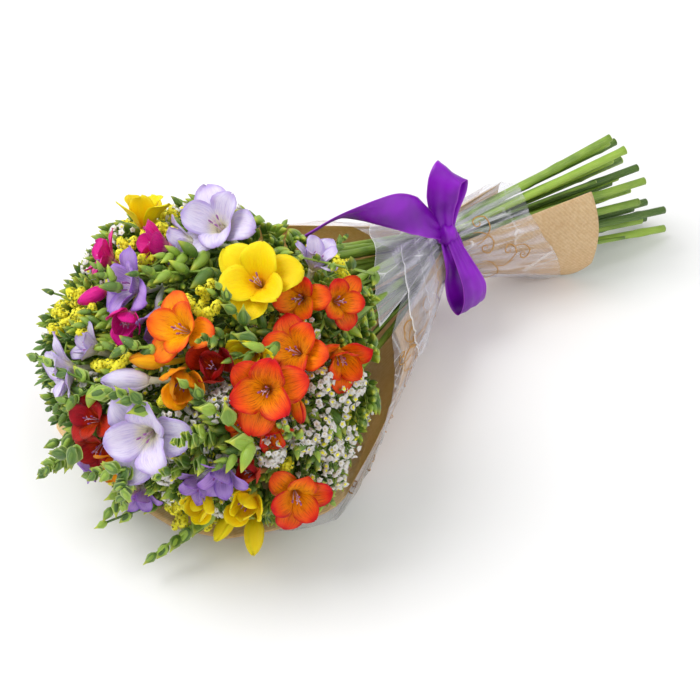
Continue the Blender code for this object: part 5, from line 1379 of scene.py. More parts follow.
class Head:
    """What stands in the head so far, for finding clear places and stems to grow from."""

    def __init__(self):
        self.tree = self.tree_of(frame["nodes"])
        self.sheets = self.tree_of(["clear_film", "kraft_wrap"])
        self.taken = np.full((1, 3), 1e6)
        self.roots = []

    @staticmethod
    def tree_of(names):
        points, faces = [], []
        for name in names:
            mesh = frame["nodes"][name].data
            start = len(points)
            points += [corner.co / METRES for corner in mesh.vertices]
            faces += [[start + k for k in face.vertices] for face in mesh.polygons]
        return BVHTree.FromPolygons(points, faces)

    def take(self, points):
        self.taken = np.concatenate([self.taken, points])

    def is_open(self, point, room):
        return self.tree.find_nearest(Vector(point), room)[0] is None

    def is_clear(self, points, room, spacing):
        gaps = np.linalg.norm(self.taken[None] - points[:, None], axis=2)
        return gaps.min() > spacing and all(self.is_open(point, room) for point in points)

    def is_wrapped(self, point):
        """Whether nothing of the wrap stands between this point and the middle of the head."""
        aim = Vector(DOME_CENTRE - point)
        return self.sheets.ray_cast(Vector(point), aim.normalized(), aim.length)[0] is None

    def root_on(self, control):
        path = rounded(control)
        self.roots.append(path[path[:, 0] < NECK[0] - 20.0])

    def stalk(self, base, direction):
        """A curved twig to this base from the nearest stem that it can reach, or None."""
        behind = (base - self.stems) @ direction
        far = np.linalg.norm(self.stems - base, axis=1)
        cost = np.where((behind > 5.0) & (far > 9.0) & (far < 75.0), far, 1e6)
        parts = np.linspace(0, 1, 7)[:, None]
        for spot in np.argsort(cost)[:40:8]:
            if cost[spot] > 1e5:
                return None
            elbow = base - 0.55 * far[spot] * direction
            path = (1 - parts) ** 2 * self.stems[spot] + 2 * parts * (1 - parts) * elbow + parts ** 2 * base
            if all(self.is_open(point, 0.9) for point in path[2:]):
                return path
        return None


def seen_place(point):
    """Where a point is seen in the plane: across and rise."""
    sight = point - EYE
    depth = -(sight @ SEEN_BACK)
    return SEEN_DISTANCE * (sight @ SEEN_RIGHT) / depth, SEEN_DISTANCE * (sight @ SEEN_UP) / depth


def is_inside_outline(point):
    """Whether a tip stays inside the outline that the flowers have from the front."""
    across, rise = seen_place(point)
    below_top = rise <= np.interp(across, OUTLINE_ACROSS, OUTLINE_TOP)
    return below_top and across < 14.0 - 0.45 * max(0.0, -35.0 - rise)


def kind_at(point, in_front, rng):
    """What grows at this place."""
    across, rise = seen_place(point)
    if in_front:
        for kind, areas in AREAS.items():
            for middle, high, reach in areas:
                if math.hypot(across - middle, rise - high) < reach and rng.uniform() < 0.8:
                    return kind
    draw = rng.uniform()
    for kind, share in SHARES[in_front]:
        draw -= share
        if draw < 0:
            return kind
    return "buds"


def head_directions(count):
    """Directions spread evenly over a ball, in a shuffled order."""
    numbers = np.arange(count) + 0.5
    spots = even_directions(numbers, 1 - 2 * numbers / count)
    np.random.default_rng(7).shuffle(spots)
    return spots


def sprig_frame(path, front=None):
    """Along a sprig, outwards from the head and aside."""
    along = unit(path[-1] - path[0])
    outwards = square_to(dome_normal(path[-1]) if front is None else front, along)
    return along, outwards, np.cross(along, outwards)


def add_bud_sprig(skin, path, length, rng, front=None, slim=False):
    """Buds in two rows along a sprig, smaller towards its tip, and one at the tip."""
    count = rng.integers(5, 7)
    along, outwards, aside = sprig_frame(path, front)
    add_stem(skin, path, (0.95, 0.85, 0.6), 5, rng)
    for number in range(count):
        part = (number / (count - 1)) ** 0.8
        base, _ = partway(path, part)
        way = 0 if number == count - 1 else 1 if number % 2 else -1
        size = length * (1.0 - 0.5 * part) * rng.uniform(0.9, 1.1)
        direction = unit(along + (0.75 - 0.3 * part) * way * aside + (0.3 if way else 0.1) * outwards)
        add_bud(skin, base, base + size * direction, 0.225 * size, outwards, rng, front is not None, slim)


def add_leafy_sprig(skin, path, length, rng, count=8):
    """Pointed leaves in turn on both sides of a sprig."""
    along, outwards, aside = sprig_frame(path)
    add_stem(skin, path, (0.8, 0.7, 0.45), 5, rng)
    for number in range(count):
        part = number / (count - 1)
        base, _ = partway(path, part)
        way = (1 if number % 2 else -1) * (0.25 if number == count - 1 else 0.8)
        direction = unit(along + way * aside + 0.25 * outwards)
        size = length * (1.0 - 0.4 * part) * rng.uniform(0.85, 1.15)
        add_leaf(skin, base, direction, square_to(outwards, direction), size, 0.23 * size, rng)


def sprig_over(head, foot, end):
    """A path just off the flowers, from a foot among them, between two seen places."""
    path = []
    for part in np.linspace(0, 1, 6):
        across, rise = (1 - part) * np.array(foot) + part * np.array(end)
        nearest = np.linalg.norm(seen(across, rise) - EYE)
        for aside in np.ndindex(3, 3):
            shift = 6.5 * (np.array(aside) - 1)
            aim = SEEN_MIDDLE + (across + shift[0]) * SEEN_RIGHT + (rise + shift[1]) * SEEN_UP
            met = head.tree.ray_cast(Vector(EYE), Vector(unit(aim - EYE)))[3]
            nearest = min(nearest, met or nearest)
        ray = unit(SEEN_MIDDLE + across * SEEN_RIGHT + rise * SEEN_UP - EYE)
        path.append(EYE + (nearest - np.interp(part, (0, 0.25, 1.0), (-7.0, 2.0, 4.0))) * ray)
    return smooth_path(path, 6)


# Sprigs that lie over the flowers: (across, rise) of foot and tip, length of a bud, and whether it is slim
OVERLYING = [
    ((-65, -60), (-107, -24), 17, True), ((-65, -62), (-84, -75), 16, False),
    ((-91, -54), (-114, -60), 15, True), ((-97, -71), (-125, -83), 15, True),
    ((-131, -37), (-156, -28), 14, True), ((-158, -27), (-206, -6), 15, True),
    ((-166, -24), (-196, -38), 15, False), ((-180, -64), (-201, -79), 15, True),
    ((-145, -78), (-171, -82), 14, True), ((-148, -81), (-149, -102), 14, True),
    ((-62, 5), (-85, 40), 14, True), ((-78, 10), (-99, 6), 14, False), ((-48, 4), (-77, -6), 15, False),
    ((16, 50), (-32, 61), 14, False), ((-92, 52), (-139, 50), 17, False),
    ((-95, 63), (-122, 62), 17, False), ((-128, 2), (-162, 1), 15, False),
    ((-150, 41), (-166, 54), 13, False), ((-30, -60), (-46, -50), 13, False),
]


def lay_sprigs(head):
    """Loose sprigs in front, each lying on the flowers with its foot among them."""
    green = Skin()
    for number, (foot, end, length, slim) in enumerate(OVERLYING):
        path = sprig_over(head, foot, end)
        head.take(path)
        add_bud_sprig(green, path, length, np.random.default_rng(300 + number), SEEN_BACK, slim)
    green.piece("buds_over_flowers", "bud_green", "green_stems")


def fill_head(head):
    """Buds, leaves and filler flowers wherever the head has room for them."""
    head.stems = np.concatenate(head.roots)
    green = {side: Skin() for side in ("left", "right", "back")}
    leafy, white, dots, yellow = Skin(), Skin(), Skin(), Skin()
    rng = np.random.default_rng(11)
    for levels, spacing in zip(LEVELS, SPACINGS):
        for spot in head_directions(1100):
            surface = DOME_CENTRE + DOME_AXES.T @ (DOME_HALF * spot)
            normal = dome_normal(surface)
            growing = unit(surface - NECK)
            if surface[2] < 9.0 or normal @ unit(NECK - DOME_CENTRE) > 0.5:
                continue
            in_front = normal @ SEEN_BACK > 0.0
            side = "back" if not in_front else "left" if seen_place(surface)[0] < -95.0 else "right"
            direction = unit(0.6 * normal + 0.6 * growing + 0.28 * rng.normal(size=3))
            kind = kind_at(surface, in_front, rng)
            run = rng.uniform(15, 22) if kind in ("buds", "leaves") else rng.uniform(6, 9)
            for level in levels:
                tip = surface + level * normal
                base = tip - run * direction
                parts = np.linspace(0, 1, 4)[:, None]
                path = base + parts * run * direction + 0.1 * run * np.sin(math.pi * parts) * normal
                allowed = base[2] >= 6.0 and is_inside_outline(tip) and head.is_wrapped(tip)
                if not allowed or not head.is_clear(path, ROOMS[kind], spacing):
                    continue
                stalk = head.stalk(base, direction)
                if stalk is None:
                    continue
                head.take(path)
                add_stem(green[side], stalk, (0.9, 0.85, 0.8), 5, rng)
                level, square = cross_frame(path[-2], path[-1])
                if kind == "buds":
                    add_bud_sprig(green[side], path, rng.uniform(13.5, 18.5), rng)
                elif kind == "leaves":
                    add_leafy_sprig(leafy, path, rng.uniform(10.0, 14.0), rng)
                elif kind == "statice":
                    add_statice_head(green[side], white, dots, base, direction, 7.5, level, square, rng, 13)
                else:
                    add_solidago_head(green[side], yellow, base, direction, 7.0, level, square, rng)
                break
    for side, skin in green.items():
        skin.piece("buds_between_" + side, "bud_green", "green_stems")
    leafy.piece("leaves_between", "leaf_green", "green_stems")
    white.piece("statice_between", "statice_papery", "statice_florets")
    dots.piece("statice_blossoms_between", "solidago_yellow", "statice_florets")
    yellow.piece("solidago_between", "solidago_yellow", "solidago_florets")


# Paper, film, print, string and ribbon

FILM_SHEET = 0.14
PAPER_SHEET = 0.3
SHEET_STEP = 2.5


def sheet_grid(columns, rows, own, inset, crumple):
    """Points of a rolled sheet, with its pleats at the tie and its own small waves."""
    grid = np.zeros((len(rows), len(columns), 3))
    spots = np.zeros((len(rows), len(columns), 2))
    for k, degrees in enumerate(columns):
        tail, lip = lips_at(degrees)[own]
        for i, part in enumerate(rows):
            distance = tail + part * (lip - tail)
            point = cone_point(degrees, distance)
            pleat = pleat_at(degrees, distance)
            shift = inset + (-pleat if own else 0.7 * pleat) - crumple(degrees, distance, point)
            grid[i, k] = point + shift * cone_normal(degrees, distance)
            spots[i, k] = distance, math.radians(degrees)
    if own:
        grid[:, :, 2] = np.maximum(grid[:, :, 2], 0.0)
    return grid, spots


def long_folds(degrees, distance):
    """How near the film's long folds a place is, from 0 to 1."""
    turn = math.radians(degrees)
    where = Vector((4.2 * math.cos(turn), 4.2 * math.sin(turn), 0.006 * distance + 3.0))
    return max(1.0 - 3.4 * abs(noise.noise(where)), 0.0)


def film_crumple(degrees, distance, point):
    """Long folds and broad creases in the film, always outward."""
    away = min(max(abs(distance) - TIE_HALF, 0.0) / 25.0, 1.0)
    if point[2] < 0.3:
        return 0.0
    coarse = max(1.0 - 2.4 * abs(noise.noise(Vector(point) * 0.022)), 0.0)
    return away * (1.6 * long_folds(degrees, distance) ** 2 + 1.0 * coarse ** 3)


def paper_crumple(_degrees, _distance, point):
    """Slow waves in the paper, towards the flowers, so that it stays inside the film."""
    near = Vector(point)
    return -0.5 - 0.5 * noise.noise(near * 0.03)


def flat_places(columns, rows, own):
    """How far across its ribs each place of the sheet lies, laid flat."""
    flat = np.zeros((len(rows), len(columns)))
    for side, slant in ((1, 0.0), (-1, math.radians(-28.0))):
        ring = np.array([cone_point(degrees, 100.0 * side) for degrees in columns])
        tie = np.array([cone_point(degrees, 0.0) for degrees in columns])
        arc, small = lengths_along(ring), lengths_along(tie)
        apex = 100.0 * small[-1] / (arc[-1] - small[-1])
        turned = (arc - 0.5 * arc[-1]) / (100.0 + apex) + slant
        for k, degrees in enumerate(columns):
            tail, lip = lips_at(degrees)[own]
            distance = tail + rows * (lip - tail)
            here = side * distance >= 0.0
            flat[here, k] = (np.abs(distance[here]) + apex) * math.sin(turned[k])
    return flat


def add_open_sheet(skin, columns, rows, own, inset, thickness, crumple):
    """A rolled sheet whose two edges stay apart."""
    grid, spots = sheet_grid(columns, rows, own, inset, crumple)
    add_blade(skin, grid, thickness, 0.0, 0.0, mask=np.tile(flat_places(columns, rows, own).reshape(-1), 2))
    skin.set_last(along=spots[:, :, 0], across=spots[:, :, 1])
    # tone tells the faces apart: 1 on the inner face, which the kraft finish lifts with painted light
    skin.values["tone"][-1] = np.repeat([0.0, 1.0], spots[:, :, 0].size)


def add_film_strip(skin, degrees, distances, lift, haze_and_glint):
    """A second layer of film on the first, with its lift and its haze; haze of 0.7 and more marks a painted
    glint.
    """
    grid = np.zeros(distances.shape + (3,))
    for spot in np.ndindex(distances.shape):
        turn, distance = degrees[spot], distances[spot]
        point = cone_point(turn, distance)
        away = lift[spot] + film_crumple(turn, distance, point) + pleat_at(turn, distance)
        grid[spot] = point - away * cone_normal(turn, distance)
    add_blade(skin, grid, FILM_SHEET, 0.0, 0.0)
    skin.set_last(along=distances, across=np.radians(degrees), mask=haze_and_glint)


def add_flap(skin):
    """The loose flap that stands out from the tie over the stems: hazy, with a painted glint on its edges.
    """
    rows = np.array([0.0, 0.02, 0.1, 0.2, 0.3, 0.4, 0.5, 0.6, 0.7, 0.8, 0.9, 0.97, 1.0])
    columns = np.linspace(76.0, 124.0, 21)
    lips = np.interp(columns, (76, 90, 102, 114, 124), (50, 62, 80, 95, 104))
    degrees, part = np.meshgrid(columns, rows)
    distances = 12.0 + part * (lips - 12.0)
    lift = 0.6 + 1.2 * part + 0.8 * np.sin(part * 5.0 + degrees * 0.12)
    # The free edges, which get a painted glint
    rim = (part > 0.98) | (degrees > 123.0)
    add_film_strip(skin, degrees, distances, np.maximum(lift, 0.4), np.where(rim, 1.0, 0.5))


def add_fold(skin):
    """The film's wide fold across the front below the tie: flattened, with a painted glint on its edges."""
    columns = np.array([0.0, 0.015, 0.06, 0.25, 0.47, 0.485, 0.5, 0.75, 0.94, 0.985, 1.0])
    rows = np.linspace(0, 1, 40)
    part, share = np.meshgrid(columns, rows)
    degrees = 98.0 + 92.0 * share
    near = np.interp(share, (0, 0.4, 0.75, 1.0), (17.0, 24.0, 40.0, 66.0))
    far = np.interp(share, (0, 0.2, 0.45, 0.75, 1.0), (46.0, 60.0, 74.0, 84.0, 78.0))
    bulge = np.minimum(1.0, 8.0 * part * (1 - part))
    lift = 1.0 + 2.2 * bulge - 0.9 * np.exp(-((part - 0.5) / 0.05) ** 2)
    # The outer edges and the middle fold, which get a painted glint
    glinting = (np.abs(part - 0.5) > 0.48) | (np.abs(part - 0.485) < 0.01)
    add_film_strip(skin, degrees, near + part * (far - near), lift, np.where(glinting, 1.0, 0.25))


def add_rolled(skin, grid, spots, thickness):
    """A thin sheet closed round the bundle, open at both ends."""
    rows, columns = grid.shape[:2]
    down = np.gradient(grid, axis=0)
    over = np.roll(grid, -1, axis=1) - np.roll(grid, 1, axis=1)
    normals = np.cross(down, over)
    normals /= np.maximum(np.linalg.norm(normals, axis=2), 1e-9)[:, :, None]
    middle = grid.mean(axis=1, keepdims=True)
    inner = grid + thickness * normals * (1 if np.einsum("ijk,ijk->", middle - grid, normals) > 0 else -1)
    inner[:, :, 2] = np.maximum(inner[:, :, 2], 0.1)
    points = np.concatenate([grid.reshape(-1, 3), inner.reshape(-1, 3)])
    count = rows * columns
    faces = rows_of_quads(rows, columns, closed=True)
    faces += [face[::-1] for face in rows_of_quads(rows, columns, closed=True, start=count)]
    for start, way in ((0, 1), (count - columns, -1)):
        for k in range(columns):
            a, b = start + k, start + (k + 1) % columns
            faces.append((a, count + a, count + b, b)[::way])
    skin.add(points, faces)
    skin.set_last(along=spots[:, :, 0], across=spots[:, :, 1])


def scroll_places(start, heading, size, turns, way):
    """The places of a line on the film that winds into a spiral."""
    places = []
    degrees, distance = start
    for part in np.linspace(0, 1, SCROLL_STEPS):
        places.append((degrees, distance))
        step = size / SCROLL_STEPS * (1.4 - 0.9 * part)
        radius = np.linalg.norm(cone_point(degrees, distance) - cone_axis(distance))
        degrees += math.degrees(step * math.sin(heading) / max(radius, 10.0))
        distance += step * math.cos(heading)
        heading += way * 2 * math.pi * turns / SCROLL_STEPS * (0.35 + 1.5 * part ** 1.5)
    return places


def add_print_line(skin, places, width):
    """A flat printed line just above the film's outer face."""
    points = [cone_point(*place) for place in places]
    inwards = np.array([cone_normal(*place) for place in places])
    lifts = [film_crumple(*place, point) + 0.22 + pleat_at(*place) for place, point in zip(places, points)]
    centre = np.array(points) - np.array(lifts)[:, None] * inwards
    centre[:, 2] = np.maximum(centre[:, 2], 0.15)
    over = np.cross(np.gradient(centre, axis=0), inwards)
    over /= np.maximum(np.linalg.norm(over, axis=1), 1e-9)[:, None]
    half = 0.5 * width * np.sin(math.pi * np.linspace(0.06, 0.94, len(centre))) ** 0.5
    columns = np.array([-1.0, 0.0, 1.0])
    grid = centre[:, None] + half[:, None, None] * columns[None, :, None] * over[:, None]
    add_blade(skin, grid, 0.12, np.linspace(0, 1, len(centre)), columns)


def pleat_at(degrees, distance):
    away = max(abs(distance) - TIE_HALF, 0.0)
    pleat = 0.5 * (1 + math.sin(math.radians(degrees) * 17 + 1.3 * math.sin(math.radians(3 * degrees))))
    return pleat * 1.1 * min(away / 12.0, 1.0) * math.exp(-away / 45.0)


SCROLL_STEPS = 70

# Scrolls on the film: angle and distance of the start, first heading, length, turns, side and width
SCROLLS = [
    ((150, 30), 0.9, 66, 1.5, -1, 0.8), ((172, 34), 0.2, 60, 1.7, 1, 0.8),
    ((184, 46), -0.7, 76, 1.4, 1, 0.9), ((162, 52), 0.4, 84, 1.3, -1, 0.9),
    ((190, 64), 0.1, 96, 1.2, -1, 0.9), ((150, 66), -0.3, 60, 1.6, 1, 0.8),
    ((176, 84), 0.3, 70, 1.6, 1, 0.9), ((192, 104), -0.2, 66, 1.5, 1, 0.8),
    ((166, 92), 0.0, 44, 1.8, -1, 0.8), ((206, 132), 0.5, 56, 1.5, -1, 1.0),
    ((214, 150), 0.0, 44, 1.7, 1, 1.0), ((262, 60), 0.1, 150, 1.6, 1, 1.0),
    ((300, 90), 0.3, 140, 1.5, 1, 0.9), ((148, -16), 3.3, 46, 1.5, 1, 0.8),
    ((178, -18), 2.9, 50, 1.4, -1, 0.8), ((166, -40), 3.4, 34, 1.7, -1, 0.8),
    ((192, -28), 3.0, 40, 1.5, 1, 0.8), ((128, -16), 3.0, 40, 1.5, -1, 0.8),
    ((262, -14), 3.0, 40, 1.4, 1, 0.8),
]


def dress_wrap():
    """The film with its print and the paper inside it."""
    film, folded, paper, gold = Skin(), Skin(), Skin(), Skin()
    rows = np.linspace(0, 1, 80)
    every = np.arange(0, 360, SHEET_STEP)
    add_rolled(film, *sheet_grid(every, rows, 1, 0.0, film_crumple), FILM_SHEET)
    film.piece("film", "clear_film", "clear_film", ["clear_film"])
    add_flap(folded)
    add_fold(folded)
    folded.piece("film_folds", "clear_film", "clear_film")
    turned = np.append(np.arange(PAPER_FROM, BARE_FROM, SHEET_STEP), BARE_FROM)
    add_open_sheet(paper, turned, rows, 0, FILM_THICK + SHEET_GAP, PAPER_SHEET, paper_crumple)
    paper.piece("kraft_paper", "ribbed_kraft", "kraft_paper", ["kraft_wrap"])
    for *scroll, width in SCROLLS:
        add_print_line(gold, scroll_places(*scroll), width)
    gold.piece("film_scrolls", "gold_print", "clear_film")


TIE_ANGLES = np.linspace(0, 2 * math.pi, 97)[:-1]
TIE_SPOKES = around(TIE_ANGLES, ACROSS_BUNDLE, UP_BUNDLE)
STRING_TWISTS = 26
PLY_OFFSET = 0.42
PLY_RADIUS = 0.4


def dress_binding():
    """Two turns of twisted string round the stems."""
    string = Skin()
    for side in (-STRING_RADIUS, STRING_RADIUS):
        for ply in (0, 1):
            twist = TIE_ANGLES * STRING_TWISTS + math.pi * ply
            radius = STRING_RING + PLY_OFFSET * np.cos(twist)
            shift = side + PLY_OFFSET * np.sin(twist)
            path = NECK + radius[:, None] * TIE_SPOKES + shift[:, None] * BUNDLE_AXIS
            add_hoop(string, path, PLY_RADIUS, 6)
    string.piece("string", "jute", "jute_string", ["stem_binding"])


def add_hoop(skin, path, radius, sides):
    """A closed ring of round section."""
    tangents = np.roll(path, -1, axis=0) - np.roll(path, 1, axis=0)
    tangents /= np.linalg.norm(tangents, axis=1)[:, None]
    first = np.cross(tangents, BUNDLE_AXIS)
    first /= np.linalg.norm(first, axis=1)[:, None]
    second = np.cross(tangents, first)
    angles = full_turn(sides)
    rings = path[:, None] + radius * around(angles, first[:, None], second[:, None])
    rows = len(path)
    faces = rows_of_quads(rows, sides, closed=True)
    last = (rows - 1) * sides
    faces += [(last + k, last + (k + 1) % sides, (k + 1) % sides, k) for k in range(sides)]
    skin.add(rings, faces, along=np.repeat(np.arange(rows), sides), across=np.tile(angles, rows))


SATIN_THICK = 0.35
RIBBON_ROWS = 64


def add_ribbon_strip(skin, path, widths, broad):
    """A strip of satin along its path, slightly curled across."""
    path = smooth_path(path, RIBBON_ROWS)
    broad = smooth_path(broad, RIBBON_ROWS)
    widths = np.interp(np.linspace(0, 1, RIBBON_ROWS), np.linspace(0, 1, len(widths)), widths)
    tangents = np.gradient(path, axis=0)
    columns = np.linspace(-1, 1, 11)
    grid = np.zeros((RIBBON_ROWS, len(columns), 3))
    length = lengths_along(path)
    for i in range(RIBBON_ROWS):
        tangent = unit(tangents[i])
        across = square_to(broad[i], tangent)
        up = np.cross(tangent, across)
        pinch = 1.0 - widths[i] / 25.0
        fold = 1.4 * pinch * np.cos(2.5 * math.pi * columns) + 0.5 * columns ** 2
        grid[i] = path[i] + (0.5 * widths[i] * columns)[:, None] * across + fold[:, None] * up
    add_blade(skin, grid, SATIN_THICK, length, columns)
    return length[-1]


def dress_ribbon():
    """The satin ribbon: a band, a long tail, two loops and the knot."""
    satin = Skin()
    total = 2 * math.pi * (BAND_RADIUS + 0.4)
    columns = np.linspace(-1, 1, 13)
    folds = 0.25 + 0.22 * np.cos(3 * math.pi * columns)
    grid = NECK + (BAND_RADIUS + SATIN_THICK + folds)[:, None, None] * TIE_SPOKES
    grid = grid + (0.5 * BAND_WIDTH * columns)[:, None, None] * BUNDLE_AXIS
    spots = np.stack(np.meshgrid(TIE_ANGLES * BAND_RADIUS, columns), axis=2)
    add_rolled(satin, grid, spots, SATIN_THICK)
    for strip in RIBBON_STRIPS:
        total += add_ribbon_strip(satin, *strip)
    add_knot(satin)
    return satin.piece("satin_ribbon", "purple_satin", "purple_satin", ["ribbon"]), total


def add_knot(skin):
    """The knot: a short roll of gathered satin round the place where the loops meet."""
    axis = unit([-0.95, 0.15, -0.1])
    rows = np.linspace(0, 1, 15)
    angles = full_turn(40)
    reach = KNOT_RADIUS * 0.93 * np.sin(math.pi * (0.1 + 0.8 * rows)) ** 0.6
    ripple = 1 + 0.06 * np.sin(rows[:, None] * 14 + 1.5 * np.sin(angles)[None])
    ripple = ripple + 0.04 * np.cos(3 * angles + 5 * rows[:, None])
    spokes = around(angles, *cross_frame(KNOT - axis, KNOT + axis))
    rings = KNOT + (8.0 * (2 * rows - 1) * 0.86)[:, None, None] * axis
    rings = rings + (reach[:, None] * ripple)[:, :, None] * spokes
    along = np.append(np.tile(angles * KNOT_RADIUS, 15), [0.0, 0.0])
    across = np.append(np.repeat(2 * rows - 1, 40), [0.0, 0.0])
    add_rings(skin, rings, np.array([KNOT - 7.2 * axis, KNOT + 7.2 * axis]), along, across)


# Finishes

WHITE = (1.0, 1.0, 1.0, 1.0)


def tint(red, green, blue):
    """A colour as it looks, each part from 0 to 255, as the light that a shader needs."""
    parts = np.array([red, green, blue]) / 255.0
    linear = np.where(parts <= 0.04045, parts / 12.92, ((parts + 0.055) / 1.055) ** 2.4)
    return (*linear, 1.0)


def join(value, socket):
    """Link a value to a socket. A plain number or colour is set on it instead."""
    if isinstance(value, Value):
        value = value.socket
    if isinstance(value, bpy.types.NodeSocket):
        socket.id_data.links.new(value, socket)
    else:
        socket.default_value = value


class Value:
    """What a new shader node puts out. Sums and products of it are nodes too."""

    def __init__(self, tree, kind, out, links=None, **settings):
        made = tree.nodes.new("ShaderNode" + kind)
        for name, value in settings.items():
            setattr(made, name, value)
        for name, value in (links or {}).items():
            join(value, made.inputs[name])
        self.tree = tree
        self.socket = made.outputs[out]

    def maths(self, operation, *others):
        return Value(self.tree, "Math", 0, dict(enumerate((self, *others))), operation=operation)

    def __add__(self, other):
        return self.maths("ADD", other)

    def __sub__(self, other):
        return self.maths("SUBTRACT", other)

    def __mul__(self, other):
        return self.maths("MULTIPLY", other)

    def __truediv__(self, other):
        return self.maths("DIVIDE", other)


def read(tree, name):
    """A value that the skins carry at their points."""
    return Value(tree, "Attribute", "Fac", attribute_name=name)


def own_place(tree):
    return Value(tree, "TexCoord", "Object")


def spread(value, low, high, out_low=0.0, out_high=1.0):
    """The value's range laid smoothly over another."""
    links = {"Value": value, "From Min": low, "From Max": high, "To Min": out_low, "To Max": out_high}
    return Value(value.tree, "MapRange", "Result", links, interpolation_type="SMOOTHSTEP")


def mixed(share, first, second):
    return Value(share.tree, "Mix", 2, {0: share, 6: first, 7: second}, data_type="RGBA")


def cloud(where, scale, detail=2.0, roughness=0.5):
    links = {"Vector": where, "Scale": scale, "Detail": detail, "Roughness": roughness}
    return Value(where.tree, "TexNoise", "Fac", links)


def place(x, y, z=0.0):
    return Value(x.tree, "CombineXYZ", "Vector", {"X": x, "Y": y, "Z": z})


def round_place(along, around, radius, pace):
    """A place on a tube, where a pattern closes round it."""
    return place(around.maths("COSINE") * radius, around.maths("SINE") * radius, along * pace)


def toned(tone, colour, hues, values):
    """The colour, a little different from one part to the next."""
    links = {"Color": colour, "Hue": spread(tone, 0.0, 1.0, *hues), "Value": spread(tone, 0.0, 1.0, *values)}
    return Value(tone.tree, "HueSaturation", "Color", links)


def new_group(name, colours, numbers):
    """A shader group with named sockets, which puts out a colour, a height and a roughness."""
    group = bpy.data.node_groups.new(name, "ShaderNodeTree")
    for label, value in {**dict.fromkeys(colours, WHITE), **numbers}.items():
        kind = "NodeSocketColor" if value is WHITE else "NodeSocketFloat"
        group.interface.new_socket(name=label, in_out="INPUT", socket_type=kind).default_value = value
    for label, kind in (("Colour", "Color"), ("Height", "Float"), ("Roughness", "Float")):
        group.interface.new_socket(name=label, in_out="OUTPUT", socket_type="NodeSocket" + kind)
    return group, group.nodes.new("NodeGroupInput").outputs


def put_out(*results):
    """The group of these results, once they are joined to its sockets in their order."""
    group = results[0].tree
    for value, socket in zip(results, group.nodes.new("NodeGroupOutput").inputs):
        join(value, socket)
    return group


def petal_shade():
    """Colour and relief of a petal: throat, middle, edge and the veins along it."""
    tree, given = new_group("petal shade", ("Throat", "Middle", "Edge", "Vein", "Tube"),
                            {"Vein Strength": 0.5, "Throat Reach": 0.35})
    along, across, tone = (read(tree, name) for name in ("along", "across", "tone"))
    side = across.maths("ABSOLUTE")
    cloudy = cloud(own_place(tree), 180.0, 3.0)
    reach = along + cloudy * 0.25 - 0.12
    colour = mixed(spread(reach / given["Throat Reach"], 0.25, 1.3), given["Throat"], given["Middle"])
    rim = spread(side, 0.62, 1.0).maths("MAXIMUM", spread(along, 0.78, 1.0))
    rim = rim * spread(along, 0.2, 0.6) * spread(cloudy, 0.25, 0.6, 0.55)
    colour = mixed(rim, colour, given["Edge"])
    lines = cloud(place(across * 5.5 + tone * 40.0, along * 1.1), 2.4, 5.0, 0.7)
    vein = spread(lines, 0.46, 0.64) * given["Vein Strength"] * spread(along, 1.05, 0.35, 0.45)
    colour = mixed(vein, colour, given["Vein"])
    colour = mixed(spread(along, -0.02, -0.75), colour, given["Tube"])
    return put_out(toned(tone, colour, (0.494, 0.506), (0.9, 1.06)), lines * 0.7 + cloudy * 0.4,
                   spread(cloudy, 0.3, 0.7, 0.38, 0.55))


def plant_shade():
    """Colour and relief of green parts: fine streaks, soft patches, a tip and a pale edge."""
    tree, given = new_group("plant shade", ("Dark", "Light", "Tip", "Pale"),
                            {"Tip Start": 0.7, "Streaks": 0.4})
    along, across, tone, mask = (read(tree, name) for name in VALUES)
    cloudy = cloud(own_place(tree), 60.0, 3.0)
    colour = mixed(spread(cloudy + tone * 0.7, 0.5, 1.15), given["Dark"], given["Light"])
    lines = cloud(round_place(along, across, 3.0, 0.05), 2.5, 3.0, 0.6)
    colour = mixed(spread(lines, 0.45, 0.65) * given["Streaks"], colour, given["Pale"])
    tip = spread(along - given["Tip Start"], 0.0, 0.3) * along.maths("LESS_THAN", 1.01)
    colour = mixed(tip * 0.8, colour, given["Tip"])
    edge = spread(across.maths("ABSOLUTE"), 0.6, 1.0) * mask.maths("COMPARE", 0.5, 0.1)
    colour = mixed(edge * 0.65, colour, given["Pale"])
    colour = mixed(mask.maths("GREATER_THAN", 0.9), colour, given["Pale"])
    return put_out(toned(tone, colour, (0.505, 0.494), (0.7, 1.12)), lines + cloudy * 0.5,
                   spread(cloudy, 0.3, 0.7, 0.35, 0.55))


finishes = {}


class Finish:
    """A material with its Principled shader. Plain numbers are set on the shader's own sockets."""

    def __init__(self, name, **values):
        self.material = finishes[name] = bpy.data.materials.new(name)
        self.material.use_nodes = True
        self.tree = self.material.node_tree
        self.shader = self.tree.nodes["Principled BSDF"].inputs
        for label, value in values.items():
            self.shader[label.replace("_", " ")].default_value = value

    def show(self, colour, height, strength, distance):
        """Join a colour and a relief to the shader."""
        join(colour, self.shader["Base Color"])
        links = {"Height": height, "Strength": strength, "Distance": distance}
        join(Value(self.tree, "Bump", "Normal", links), self.shader["Normal"])


def shaded(name, group, row, strength, distance, **values):
    """A finish from one of the shared groups, whose sockets are filled by the row in their order."""
    made = Finish(name, **values)
    part = made.tree.nodes.new("ShaderNodeGroup")
    part.node_tree = group
    for value, socket in zip(row, part.inputs):
        join(tint(*value) if isinstance(value, tuple) else value, socket)
    join(part.outputs["Roughness"], made.shader["Roughness"])
    made.show(part.outputs["Colour"], part.outputs["Height"], strength, distance)


def grainy(name, scale, detail, roughness, first, second, strength, distance, **values):
    """A finish of two tints, mixed by a grain that is also its relief."""
    made = Finish(name, **values)
    grain = cloud(own_place(made.tree), scale, detail, roughness)
    made.show(mixed(grain, tint(*first), tint(*second)), grain, strength, distance)


